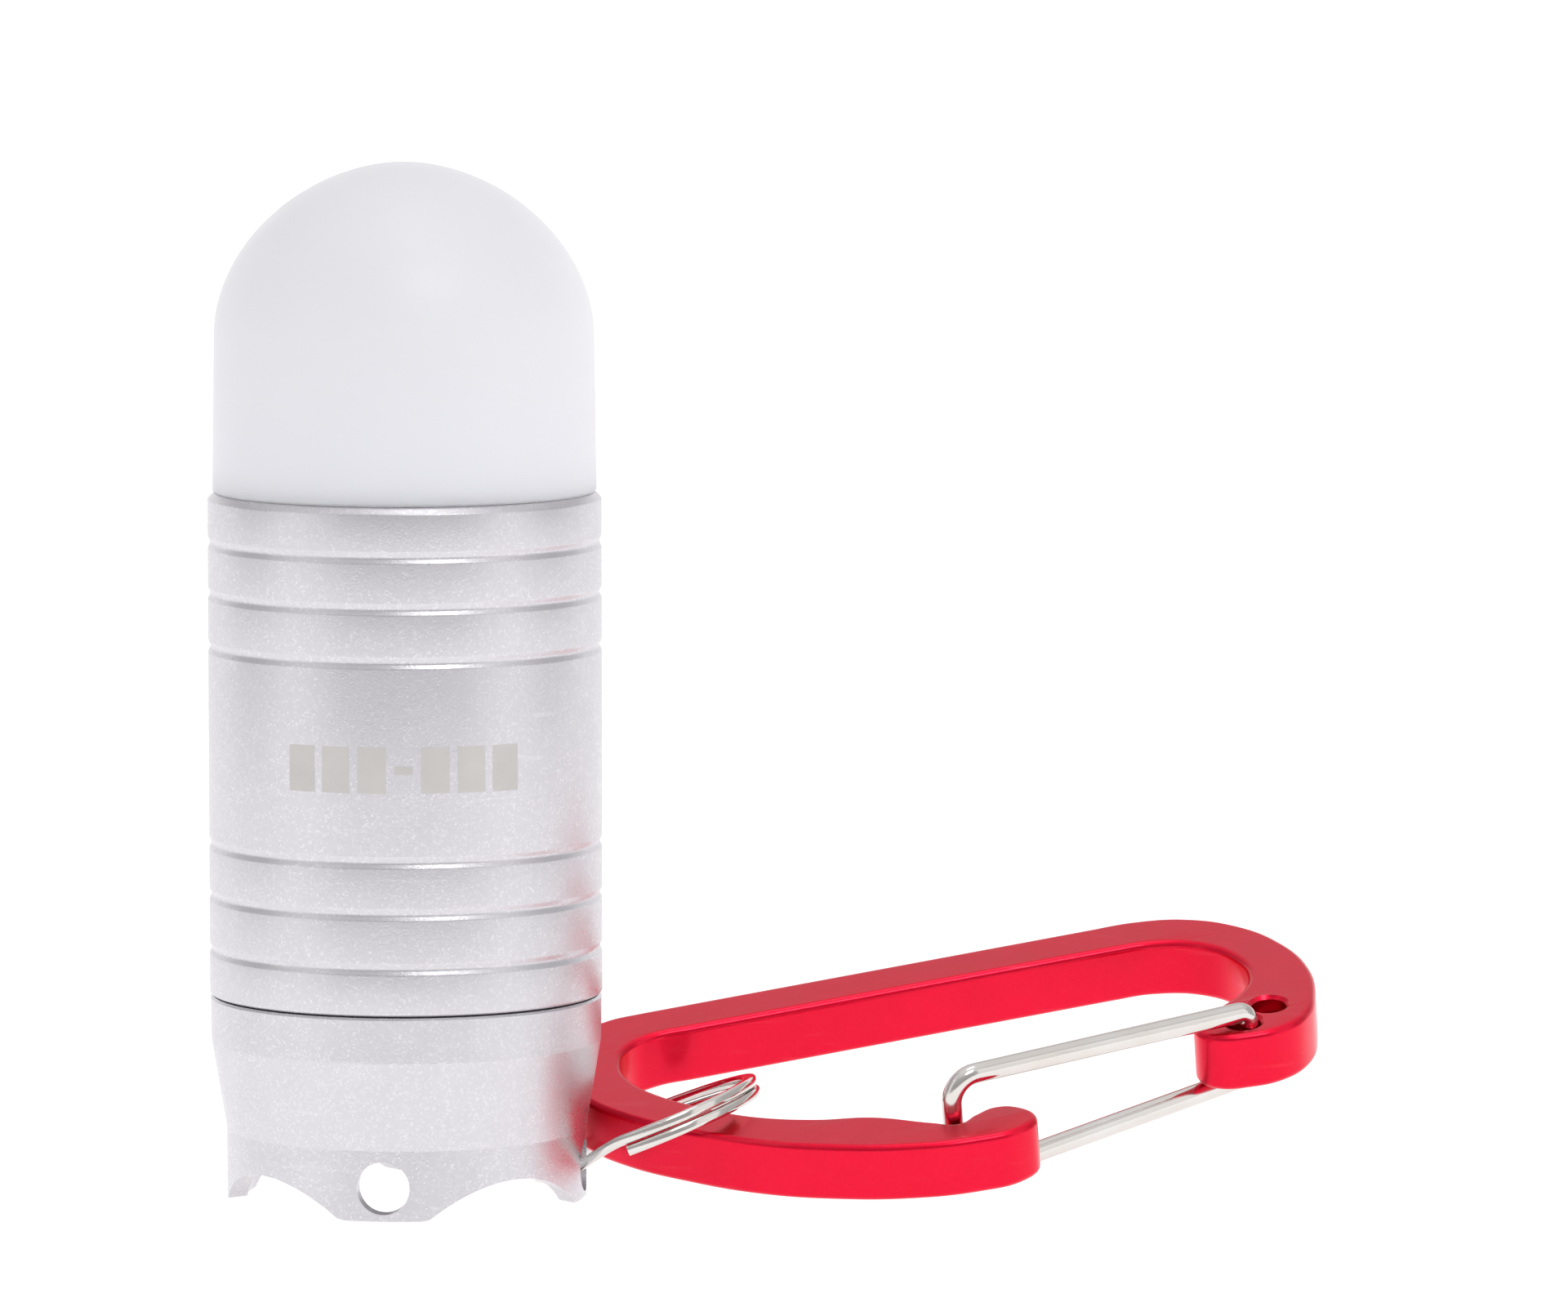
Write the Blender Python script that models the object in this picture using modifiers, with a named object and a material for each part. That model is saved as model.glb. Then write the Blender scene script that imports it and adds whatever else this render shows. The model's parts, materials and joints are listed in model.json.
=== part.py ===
"""Keychain flashlight: a grooved aluminium torch with an opal dome, and a small carabiner on a split ring.

The torch stands on the four lugs of its tail cap. Metres, +Z up.
"""
from math import cos, pi, radians, sin, tau

import bmesh
import bpy
from mathutils import Matrix, Vector

MM = 0.001

# Where the torch axis stands in the frame, whose origin is the middle of the object's base.
TORCH_X = -22.26 * MM
TORCH_Y = -6.26 * MM

# Torch, turned pieces: heights are above the lug tips.
SHELL_STEPS = 36
SMALL_STEPS = 20
BODY_RADIUS = 12.0 * MM
BORE_RADIUS = 10.85 * MM
SEAM_GAP_LOW = 12.50 * MM
SEAM_GAP_HIGH = 12.60 * MM
SLEEVE_TOP = 43.27 * MM
RIM_CHAMFER = 0.40 * MM
SEAM_CHAMFER = 0.12 * MM
GROOVE_HEIGHTS = [40.27 * MM, 37.16 * MM, 33.93 * MM, 21.90 * MM, 18.75 * MM, 15.45 * MM]
GROOVE_WIDTH = 0.70 * MM
GROOVE_DEPTH = 0.14 * MM
SHELF_LOW = 36.50 * MM
SHELF_HIGH = 37.30 * MM
SHELF_RADIUS = 8.40 * MM

# Diffuser dome.
DOME_BASE = 43.30 * MM
DOME_BASE_RADIUS = 11.70 * MM
DOME_SPRING = 52.90 * MM
DOME_SPRING_RADIUS = 11.57 * MM
DOME_RISE = 10.45 * MM
DOME_SHAPE = 1.88
DOME_WALL = 1.50 * MM
NECK_FOOT = 41.10 * MM
NECK_RADIUS = 10.50 * MM
NECK_BORE = 9.20 * MM
DOME_GROOVE_LOW = 41.70 * MM
DOME_GROOVE_HIGH = 42.60 * MM
DOME_BORE_TOP = 44.0 * MM
DOME_ARC_STEPS = 10

# Rubber rings: one groove size serves the dome's neck and the cap's neck.
GROOVE_FLOOR_RADIUS = 9.90 * MM
DOME_SEAL_RADIUS = 10.32 * MM
DOME_SEAL_WIRE = 0.34 * MM
CAP_SEAL_RADIUS = 10.38 * MM
CAP_SEAL_WIRE = 0.38 * MM

# Light unit, from its plate on the sleeve's shelf up to the lamp.
PLATE_RADIUS = 10.60 * MM
PLATE_BORE = 3.60 * MM
PLATE_LOW = 37.45 * MM
PLATE_HIGH = 38.30 * MM
LIGHT_BOARD_RADIUS = 10.50 * MM
LIGHT_BOARD_LOW = 38.45 * MM
LIGHT_BOARD_HIGH = 39.25 * MM
LIGHT_FOOT = 39.40 * MM
LOCK_RING_BORE = 9.35 * MM
LOCK_RING_HIGH = 40.90 * MM
DISH_RADIUS = 9.10 * MM
DISH_EYE = 2.60 * MM
DISH_RIM = 40.80 * MM
LAMP_RADIUS = 1.90 * MM
LAMP_TOP = 41.20 * MM

# Tail cap.
LUG_TURN = radians(-5.6)
LUG_HOLE_RADIUS = 1.60 * MM
LUG_HOLE_HEIGHT = 2.04 * MM
SCALLOP_RADIUS = 9.15 * MM
SCALLOP_DEPTH = 2.25 * MM
SKIRT_RADIUS = 11.0 * MM
SKIRT_BORE = 9.75 * MM
RECESS_ROOF = 3.90 * MM
SHOULDER_RADIUS = 11.95 * MM
WAIST_TOP_RADIUS = 11.91 * MM
WAIST_TOP = 9.75 * MM
WAIST_FOOT_RADIUS = 11.05 * MM
WAIST_FOOT = 4.65 * MM
SKIRT_TOP = 4.30 * MM
CAP_GROOVE_LOW = 13.20 * MM
CAP_GROOVE_HIGH = 14.20 * MM
CAP_NECK_TOP = 17.60 * MM
CAP_NECK_CHAMFER = 0.30 * MM
SWITCH_BAY_RADIUS = 9.35 * MM
SWITCH_BAY_FLOOR = 5.40 * MM
BUTTON_HOLE_RADIUS = 4.60 * MM
THROUGH_LENGTH = 30.0 * MM
CAP_NECK_RADIUS = 10.55 * MM
BUTTON_RADIUS = 4.45 * MM
BUTTON_FACE = 4.10 * MM
FLANGE_RADIUS = 5.60 * MM
FLANGE_LOW = 5.55 * MM
FLANGE_HIGH = 6.45 * MM

# Push switch.
PLUNGER_RADIUS = 1.55 * MM
PLUNGER_LOW = 6.60 * MM
PLUNGER_HIGH = 9.20 * MM
SWITCH_RADIUS = 5.0 * MM
SWITCH_BORE = 1.75 * MM
SWITCH_LOW = 8.40 * MM
SWITCH_WELL_TOP = 10.60 * MM
SWITCH_HIGH = 11.80 * MM
SWITCH_BOARD_RADIUS = 9.15 * MM
SWITCH_BOARD_BORE = 1.20 * MM
SWITCH_BOARD_LOW = 11.95 * MM
SWITCH_BOARD_HIGH = 12.75 * MM
CAP_LOCK_RADIUS = 9.20 * MM
CAP_LOCK_BORE = 6.60 * MM
CAP_LOCK_LOW = 12.90 * MM
CAP_LOCK_HIGH = 15.0 * MM

# Springs: radius of the first and last turn, height of the first and last turn, wire radius, turns.
TOP_SPRING = (2.4 * MM, 1.9 * MM, 36.45 * MM, 38.15 * MM, 0.16 * MM, 3)
TAIL_SPRING = (4.6 * MM, 2.6 * MM, 13.15 * MM, 17.60 * MM, 0.22 * MM, 4)
RETURN_SPRING = (2.7 * MM, 2.7 * MM, 6.75 * MM, 8.10 * MM, 0.16 * MM, 3)

# Button cells.
CELL_RADIUS = 5.80 * MM
CELL_HEIGHT = 5.35 * MM
CELL_PITCH = 5.55 * MM
CELL_FOOT = 18.75 * MM
CELL_COUNT = 3
CELL_CHAMFER = 0.25 * MM
CELL_STEP_RADIUS = 4.70 * MM
CELL_STEP_HEIGHT = 0.70 * MM

# Spool that holds the cells.
SPOOL_RADIUS = 10.40 * MM
SPOOL_WAIST = 7.20 * MM
SPOOL_BORE = 6.05 * MM
SPOOL_LOW = 18.55 * MM
SPOOL_HIGH = 35.55 * MM
SPOOL_FLANGE = 1.75 * MM
CONTACT_RADIUS = 6.60 * MM
CONTACT_THICKNESS = 0.35 * MM
TOP_CONTACT_FOOT = 35.75 * MM
BOTTOM_CONTACT_FOOT = 18.0 * MM

# Split ring: flat wire, two turns, lying in a plane of its own.
RING_CENTRE = (14.50 * MM, 4.34 * MM, 3.50 * MM)
RING_NORMAL = (-0.363, 0.051, 0.931)
RING_RADIUS = 7.1 * MM
RING_WIRE_WIDTH = 0.92 * MM
RING_WIRE_HEIGHT = 0.64 * MM
RING_PITCH = 0.72 * MM
RING_JOG = radians(36.0)
RING_WIRE_CORNER = 0.16 * MM
RING_STEP = radians(12.0)

# Carabiner: plate frame with its origin on the top face, +X along the back bar, +Z out of the face.
CLIP_ORIGIN = (26.81 * MM, -3.72 * MM, 3.84 * MM)
CLIP_YAW = radians(14.0)
CLIP_RISE = radians(8.5)
CLIP_TILT = radians(16.5)
CLIP_THICKNESS = 3.75 * MM
CLIP_EDGE = 0.40 * MM

# Wire gate, in the plate frame.
WIRE_RADIUS = 0.65 * MM
GATE_HOLE_RADIUS = 1.10 * MM
GATE_HOLES = [(27.5 * MM, 6.0 * MM), (29.7 * MM, 7.7 * MM)]
GATE_PLAY = 0.33 * MM
GATE_NOTCH = (7.15 * MM, 0.95 * MM)
GATE_FIRST_END = -3.0 * MM
GATE_LOW_TOP = 0.78 * MM
GATE_HIGH_TOP = 2.40 * MM
GATE_BELOW = -CLIP_THICKNESS - 0.80 * MM
GATE_LAST_END = -1.2 * MM
GATE_SMALL_BEND = 0.75 * MM
GATE_WIDE_BEND = 1.6 * MM


def clear_scene():
    for old in list(bpy.data.objects):
        bpy.data.objects.remove(old, do_unlink=True)


def new_collection(name):
    collection = bpy.data.collections.new(name)
    bpy.context.scene.collection.children.link(collection)
    return collection


def new_material(name, colour, roughness, metallic):
    material = bpy.data.materials.new(name)
    material.use_nodes = True
    shader = material.node_tree.nodes["Principled BSDF"]
    shader.inputs["Base Color"].default_value = (*colour, 1.0)
    shader.inputs["Roughness"].default_value = roughness
    shader.inputs["Metallic"].default_value = metallic
    return material


clear_scene()
PARTS = new_collection("keychain_flashlight")
CUTTERS = new_collection("cutters")


def new_empty(name, location=(0.0, 0.0, 0.0), parent=None):
    empty = bpy.data.objects.new(name, None)
    empty.empty_display_size = 5.0 * MM
    empty.location = location
    empty.parent = parent
    PARTS.objects.link(empty)
    return empty


def add_part(name, data, material, parent):
    part = bpy.data.objects.new(name, data)
    data.materials.append(material)
    part.parent = parent
    PARTS.objects.link(part)
    return part


def polyline_mesh(name, points, closed):
    mesh = bpy.data.meshes.new(name)
    count = len(points)
    edges = [(i, i + 1) for i in range(count - 1)]
    if closed:
        edges.append((count - 1, 0))
    mesh.from_pydata([(x, 0.0, z) for x, z in points], edges, [])
    return mesh


def turned(name, profile, material, parent, steps=SMALL_STEPS, closed=True):
    """Turn a profile of (radius, height) points about the Z axis; it runs down its outer side."""
    part = add_part(name, polyline_mesh(name, profile, closed), material, parent)
    screw = part.modifiers.new("turn", "SCREW")
    screw.angle = tau
    screw.steps = steps
    screw.render_steps = steps
    screw.use_merge_vertices = True
    screw.merge_threshold = 0.00001
    screw.use_smooth_shade = True
    return part


def disc_profile(radius, low, high, chamfer=0.0):
    """A solid disc or rod with chamfered edges."""
    if chamfer == 0.0:
        return [(0.0, high), (radius, high), (radius, low), (0.0, low)]
    inner = radius - chamfer
    side = [(radius, high - chamfer), (radius, low + chamfer)]
    return [(0.0, high), (inner, high), *side, (inner, low), (0.0, low)]


def ring_profile(outer, inner, low, high):
    return [(outer, high), (outer, low), (inner, low), (inner, high)]


def round_ring_profile(major, minor, height, count=6):
    angles = [pi / 2 - tau * i / count for i in range(count)]
    return [(major + minor * cos(a), height + minor * sin(a)) for a in angles]


def cut(part, cutter):
    boolean = part.modifiers.new("cut_" + cutter.name, "BOOLEAN")
    boolean.operation = "DIFFERENCE"
    boolean.solver = "EXACT"
    boolean.object = cutter


def round_cutter(name, radius, length, matrix, steps=SMALL_STEPS):
    """A cylinder along the local Z axis of the given matrix."""
    shape = bmesh.new()
    bmesh.ops.create_cone(
        shape, cap_ends=True, segments=steps, radius1=radius, radius2=radius, depth=length, matrix=matrix,
    )
    mesh = bpy.data.meshes.new(name)
    shape.to_mesh(mesh)
    shape.free()
    cutter = bpy.data.objects.new(name, mesh)
    cutter.hide_render = True
    cutter.display_type = "WIRE"
    CUTTERS.objects.link(cutter)
    return cutter


def wire_curve(name, points, radius, material, parent):
    """A round wire through the points."""
    curve = bpy.data.curves.new(name, "CURVE")
    curve.dimensions = "3D"
    curve.bevel_depth = radius
    curve.bevel_resolution = 2
    curve.use_fill_caps = True
    spline = curve.splines.new("POLY")
    spline.points.add(len(points) - 1)
    for knot, place in zip(spline.points, points):
        knot.co = (*place, 1.0)
    return add_part(name, curve, material, parent)


def coil_points(radius_low, radius_high, low, high, turns, steps=8):
    """A helix whose radius runs from one end's to the other's."""
    count = turns * steps + 1
    points = []
    for i in range(count):
        share = i / (count - 1)
        angle = tau * turns * share
        radius = radius_low + (radius_high - radius_low) * share
        points.append(Vector((radius * cos(angle), radius * sin(angle), low + (high - low) * share)))
    return points


def make_spring(name, size, material, parent):
    radius_low, radius_high, low, high, wire, turns = size
    points = coil_points(radius_low, radius_high, low, high, turns)
    return wire_curve(name, points, wire, material, parent)


def rounded_path(corners, bends, steps=4):
    """Replace each inner corner by an arc of its bend radius."""
    path = [corners[0]]
    for i in range(1, len(corners) - 1):
        here = corners[i]
        back = (corners[i - 1] - here).normalized()
        ahead = (corners[i + 1] - here).normalized()
        half = back.angle(ahead) / 2
        reach = bends[i - 1] / sin(half) * cos(half)
        centre = here + (back + ahead).normalized() * (bends[i - 1] / sin(half))
        start = here + back * reach - centre
        axis = (-back).cross(ahead)
        for k in range(steps + 1):
            swept = (pi - 2 * half) * k / steps
            path.append(centre + Matrix.Rotation(swept, 3, axis) @ start)
    path.append(corners[-1])
    return path


# ---------------------------------------------------------------- torch body

def make_sleeve(material, parent):
    outer = [(BODY_RADIUS - RIM_CHAMFER, SLEEVE_TOP), (BODY_RADIUS, SLEEVE_TOP - RIM_CHAMFER)]
    for height in GROOVE_HEIGHTS:
        outer.append((BODY_RADIUS, height + GROOVE_WIDTH / 2))
        outer.append((BODY_RADIUS - GROOVE_DEPTH, height))
        outer.append((BODY_RADIUS, height - GROOVE_WIDTH / 2))
    outer.append((BODY_RADIUS, SEAM_GAP_HIGH + SEAM_CHAMFER))
    outer.append((BODY_RADIUS - SEAM_CHAMFER, SEAM_GAP_HIGH))
    inner = [
        (BORE_RADIUS, SEAM_GAP_HIGH),
        (BORE_RADIUS, SHELF_LOW),
        (SHELF_RADIUS, SHELF_LOW),
        (SHELF_RADIUS, SHELF_HIGH),
        (BORE_RADIUS, SHELF_HIGH),
        (BORE_RADIUS, SLEEVE_TOP),
    ]
    return turned("body_sleeve", outer + inner, material, parent, SHELL_STEPS)


def dome_arc(radius, rise, foot, count):
    """Points of the dome from its apex down to where its wall begins."""
    points = []
    for i in range(count + 1):
        angle = pi / 2 * (1 - i / count)
        across = 0.0 if i == 0 else cos(angle) ** (2 / DOME_SHAPE)
        up = 0.0 if i == count else sin(angle) ** (2 / DOME_SHAPE)
        points.append((radius * across, foot + rise * up))
    return points


def make_dome(material, parent):
    outer = dome_arc(DOME_SPRING_RADIUS, DOME_RISE, DOME_SPRING, DOME_ARC_STEPS)
    outer += [(DOME_BASE_RADIUS, DOME_BASE), (NECK_RADIUS, DOME_BASE)]
    groove = [
        (NECK_RADIUS, DOME_GROOVE_HIGH),
        (GROOVE_FLOOR_RADIUS, DOME_GROOVE_HIGH),
        (GROOVE_FLOOR_RADIUS, DOME_GROOVE_LOW),
        (NECK_RADIUS, DOME_GROOVE_LOW),
    ]
    neck = [(NECK_RADIUS, NECK_FOOT), (NECK_BORE, NECK_FOOT), (NECK_BORE, DOME_BORE_TOP)]
    inner_radius = DOME_SPRING_RADIUS - DOME_WALL
    inner = dome_arc(inner_radius, DOME_RISE - DOME_WALL, DOME_SPRING, DOME_ARC_STEPS)
    inner.reverse()
    profile = outer + groove + neck + inner
    return turned("diffuser_dome", profile, material, parent, SHELL_STEPS, closed=False)


def make_light_unit(materials, parent):
    """Heat-sink plate on the sleeve's shelf, board, lamp, reflector and lock ring above it."""
    seal = round_ring_profile(DOME_SEAL_RADIUS, DOME_SEAL_WIRE, (DOME_GROOVE_LOW + DOME_GROOVE_HIGH) / 2)
    turned("dome_o_ring", seal, materials["rubber"], parent, 24)
    plate = ring_profile(PLATE_RADIUS, PLATE_BORE, PLATE_LOW, PLATE_HIGH)
    turned("heat_sink_plate", plate, materials["inner_metal"], parent)
    board = disc_profile(LIGHT_BOARD_RADIUS, LIGHT_BOARD_LOW, LIGHT_BOARD_HIGH)
    turned("led_board", board, materials["board"], parent)
    lock_ring = ring_profile(PLATE_RADIUS, LOCK_RING_BORE, LIGHT_FOOT, LOCK_RING_HIGH)
    turned("board_lock_ring", lock_ring, materials["inner_metal"], parent)
    dish = [
        (DISH_RADIUS, DISH_RIM),
        (DISH_RADIUS, LIGHT_FOOT),
        (DISH_EYE, LIGHT_FOOT),
        (DISH_EYE, LIGHT_FOOT + 0.4 * MM),
        (DISH_RADIUS - 1.5 * MM, LIGHT_FOOT + 0.8 * MM),
        (DISH_RADIUS - 0.5 * MM, DISH_RIM),
    ]
    turned("light_reflector", dish, materials["white_plastic"], parent)
    lamp = [
        (0.0, LAMP_TOP),
        (LAMP_RADIUS - 0.80 * MM, LAMP_TOP - 0.25 * MM),
        (LAMP_RADIUS - 0.15 * MM, LIGHT_FOOT + 0.80 * MM),
        (LAMP_RADIUS, LIGHT_FOOT),
        (0.0, LIGHT_FOOT),
    ]
    turned("led_emitter", lamp, materials["led"], parent, 16, closed=False)
    make_spring("top_contact_spring", TOP_SPRING, materials["spring_steel"], parent)


def make_battery_pack(materials, parent):
    """Plastic spool with the button cells stacked in it, and a contact plate at each end."""
    spool = [
        (SPOOL_RADIUS, SPOOL_HIGH),
        (SPOOL_RADIUS, SPOOL_HIGH - SPOOL_FLANGE),
        (SPOOL_WAIST, SPOOL_HIGH - SPOOL_FLANGE),
        (SPOOL_WAIST, SPOOL_LOW + SPOOL_FLANGE),
        (SPOOL_RADIUS, SPOOL_LOW + SPOOL_FLANGE),
        (SPOOL_RADIUS, SPOOL_LOW),
        (SPOOL_BORE, SPOOL_LOW),
        (SPOOL_BORE, SPOOL_HIGH),
    ]
    turned("battery_carrier", spool, materials["black_plastic"], parent)
    for i in range(CELL_COUNT):
        foot = CELL_FOOT + i * CELL_PITCH
        step = foot + CELL_STEP_HEIGHT
        cell = [
            (0.0, foot + CELL_HEIGHT),
            (CELL_RADIUS - CELL_CHAMFER, foot + CELL_HEIGHT),
            (CELL_RADIUS, foot + CELL_HEIGHT - CELL_CHAMFER),
            (CELL_RADIUS, step),
            (CELL_STEP_RADIUS, step),
            (CELL_STEP_RADIUS, foot),
            (0.0, foot),
        ]
        turned("button_cell_%d" % (i + 1), cell, materials["cell_steel"], parent, closed=False)
    contacts = [("carrier_top_contact", TOP_CONTACT_FOOT), ("carrier_bottom_contact", BOTTOM_CONTACT_FOOT)]
    for name, foot in contacts:
        contact = disc_profile(CONTACT_RADIUS, foot, foot + CONTACT_THICKNESS)
        turned(name, contact, materials["brass"], parent, closed=False)


# ---------------------------------------------------------------- tail cap and switch

def make_tail_cap(material, parent):
    profile = [
        (CAP_NECK_RADIUS - CAP_NECK_CHAMFER, CAP_NECK_TOP),
        (CAP_NECK_RADIUS, CAP_NECK_TOP - CAP_NECK_CHAMFER),
        (CAP_NECK_RADIUS, CAP_GROOVE_HIGH),
        (GROOVE_FLOOR_RADIUS, CAP_GROOVE_HIGH),
        (GROOVE_FLOOR_RADIUS, CAP_GROOVE_LOW),
        (CAP_NECK_RADIUS, CAP_GROOVE_LOW),
        (CAP_NECK_RADIUS, SEAM_GAP_LOW),
        (SHOULDER_RADIUS - SEAM_CHAMFER, SEAM_GAP_LOW),
        (SHOULDER_RADIUS, SEAM_GAP_LOW - SEAM_CHAMFER),
        (WAIST_TOP_RADIUS, WAIST_TOP),
        (WAIST_FOOT_RADIUS, WAIST_FOOT),
        (SKIRT_RADIUS, SKIRT_TOP),
        (SKIRT_RADIUS, 0.0),
        (SKIRT_BORE, 0.0),
        (SKIRT_BORE, RECESS_ROOF),
        (BUTTON_HOLE_RADIUS, RECESS_ROOF),
        (BUTTON_HOLE_RADIUS, SWITCH_BAY_FLOOR),
        (SWITCH_BAY_RADIUS, SWITCH_BAY_FLOOR),
        (SWITCH_BAY_RADIUS, CAP_NECK_TOP),
    ]
    cap = turned("tail_cap", profile, material, parent, SHELL_STEPS)
    lie_down = Matrix.Rotation(pi / 2, 4, "Y")
    for i in range(2):
        across_lugs = Matrix.Rotation(LUG_TURN + i * pi / 2, 4, "Z")
        hole = Matrix.Translation((0.0, 0.0, LUG_HOLE_HEIGHT)) @ across_lugs @ lie_down
        cutter = round_cutter("lug_hole_cutter_%d" % (i + 1), LUG_HOLE_RADIUS, THROUGH_LENGTH, hole)
        cutter.parent = parent
        cut(cap, cutter)
        between_lugs = Matrix.Rotation(LUG_TURN + pi / 4 + i * pi / 2, 4, "Z")
        scallop = Matrix.Translation((0.0, 0.0, SCALLOP_DEPTH - SCALLOP_RADIUS)) @ between_lugs @ lie_down
        cutter = round_cutter("scallop_cutter_%d" % (i + 1), SCALLOP_RADIUS, THROUGH_LENGTH, scallop, 40)
        cutter.parent = parent
        cut(cap, cutter)
    return cap


def make_switch(materials, parent):
    """Push switch above the recess, up to the spring that feeds the cells."""
    switch = [
        (0.0, SWITCH_HIGH),
        (SWITCH_RADIUS, SWITCH_HIGH),
        (SWITCH_RADIUS, SWITCH_LOW),
        (SWITCH_BORE, SWITCH_LOW),
        (SWITCH_BORE, SWITCH_WELL_TOP),
        (0.0, SWITCH_WELL_TOP),
    ]
    turned("switch_body", switch, materials["black_plastic"], parent, closed=False)
    board = ring_profile(SWITCH_BOARD_RADIUS, SWITCH_BOARD_BORE, SWITCH_BOARD_LOW, SWITCH_BOARD_HIGH)
    turned("switch_board", board, materials["board"], parent)
    lock_ring = ring_profile(CAP_LOCK_RADIUS, CAP_LOCK_BORE, CAP_LOCK_LOW, CAP_LOCK_HIGH)
    turned("switch_lock_ring", lock_ring, materials["inner_metal"], parent)
    make_spring("tail_contact_spring", TAIL_SPRING, materials["spring_steel"], parent)
    make_spring("plunger_spring", RETURN_SPRING, materials["spring_steel"], parent)


def make_button(materials, parent):
    button = [
        (0.0, FLANGE_HIGH),
        (FLANGE_RADIUS, FLANGE_HIGH),
        (FLANGE_RADIUS, FLANGE_LOW),
        (BUTTON_RADIUS, FLANGE_LOW),
        (BUTTON_RADIUS, BUTTON_FACE + 0.4 * MM),
        (BUTTON_RADIUS - 0.5 * MM, BUTTON_FACE),
        (0.0, BUTTON_FACE),
    ]
    turned("button_boot", button, materials["rubber"], parent, closed=False)
    plunger = disc_profile(PLUNGER_RADIUS, PLUNGER_LOW, PLUNGER_HIGH, 0.2 * MM)
    turned("switch_plunger", plunger, materials["white_plastic"], parent, closed=False)


# ---------------------------------------------------------------- split ring

def ring_height(angle):
    """The first turn lies low; the wire then steps up over its own start and the second turn lies high."""
    share = min(max((angle - tau + RING_JOG) / RING_JOG, 0.0), 1.0)
    return RING_PITCH * (share * share * (3 - 2 * share) - 0.5)


def make_split_ring(material, parent):
    """Flat wire wound into two turns about the parent's Z axis."""
    profile = bpy.data.curves.new("ring_wire_section", "CURVE")
    profile.dimensions = "2D"
    outline = profile.splines.new("POLY")
    half_width = RING_WIRE_WIDTH / 2
    half_height = RING_WIRE_HEIGHT / 2
    corner = RING_WIRE_CORNER
    corners = [
        (half_width, corner - half_height),
        (half_width - corner, -half_height),
        (corner - half_width, -half_height),
        (-half_width, corner - half_height),
        (-half_width, half_height - corner),
        (corner - half_width, half_height),
        (half_width - corner, half_height),
        (half_width, half_height - corner),
    ]
    outline.points.add(len(corners) - 1)
    for knot, (x, y) in zip(outline.points, corners):
        knot.co = (x, y, 0.0, 1.0)
    outline.use_cyclic_u = True
    section = bpy.data.objects.new("ring_wire_section", profile)
    section.hide_render = True
    section.display_type = "WIRE"
    CUTTERS.objects.link(section)

    curve = bpy.data.curves.new("split_ring", "CURVE")
    curve.dimensions = "3D"
    curve.twist_mode = "Z_UP"
    curve.bevel_mode = "OBJECT"
    curve.bevel_object = section
    curve.use_fill_caps = True
    count = round((2 * tau - RING_JOG) / RING_STEP) + 1
    wire = curve.splines.new("POLY")
    wire.points.add(count - 1)
    for i in range(count):
        angle = i * RING_STEP
        across = RING_RADIUS * cos(angle)
        along = RING_RADIUS * sin(angle)
        wire.points[i].co = (across, along, ring_height(angle), 1.0)
    return add_part("split_ring", curve, material, parent)


# ---------------------------------------------------------------- carabiner and gate

CLIP_OUTLINE = [
    # hook end and the notch that the gate rests in
    (11.9, -1.2, "AUTO"), (11.3, 0.5, "AUTO"), (9.9, 1.15, "AUTO"), (8.4, 0.6, "AUTO"),
    (7.1, -0.15, "AUTO"), (5.9, 0.55, "AUTO"),
    # inner edge of the front arm, round the left end
    (2.6, 2.85, "AUTO"), (-0.8, 4.0, "AUTO"), (-4.2, 5.95, "AUTO"), (-6.5, 8.2, "AUTO"),
    (-8.6, 10.9, "AUTO"), (-9.8, 13.7, "AUTO"), (-9.8, 16.2, "AUTO"), (-8.8, 18.2, "AUTO"),
    (-6.8, 19.15, "AUTO"),
    # inner edge of the back bar, round the right end to the nose
    (-4.5, 19.2, "VECTOR"), (23.0, 19.2, "VECTOR"), (25.6, 19.05, "AUTO"), (28.4, 17.6, "AUTO"),
    (29.9, 15.0, "AUTO"), (29.9, 12.4, "AUTO"), (28.7, 10.3, "AUTO"), (26.8, 8.8, "AUTO"),
    (25.0, 7.6, "AUTO"), (24.4, 6.1, "AUTO"), (25.1, 4.7, "AUTO"), (27.2, 4.0, "AUTO"),
    (29.6, 4.2, "AUTO"), (31.6, 5.6, "AUTO"),
    # outer edge, back to the hook
    (33.0, 8.4, "AUTO"), (33.8, 12.2, "AUTO"), (33.3, 16.0, "AUTO"), (31.6, 19.4, "AUTO"),
    (28.8, 21.8, "AUTO"), (25.5, 22.75, "AUTO"), (22.5, 22.8, "VECTOR"), (-6.5, 22.8, "VECTOR"),
    (-9.1, 22.6, "AUTO"), (-11.7, 21.2, "AUTO"), (-13.3, 18.6, "AUTO"), (-13.8, 15.4, "AUTO"),
    (-13.2, 12.2, "AUTO"), (-11.6, 9.1, "AUTO"), (-9.0, 5.95, "AUTO"), (-5.0, 2.2, "AUTO"),
    (-0.8, -0.4, "AUTO"), (3.3, -2.1, "AUTO"), (7.5, -2.9, "AUTO"), (10.5, -2.6, "AUTO"),
]


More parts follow.
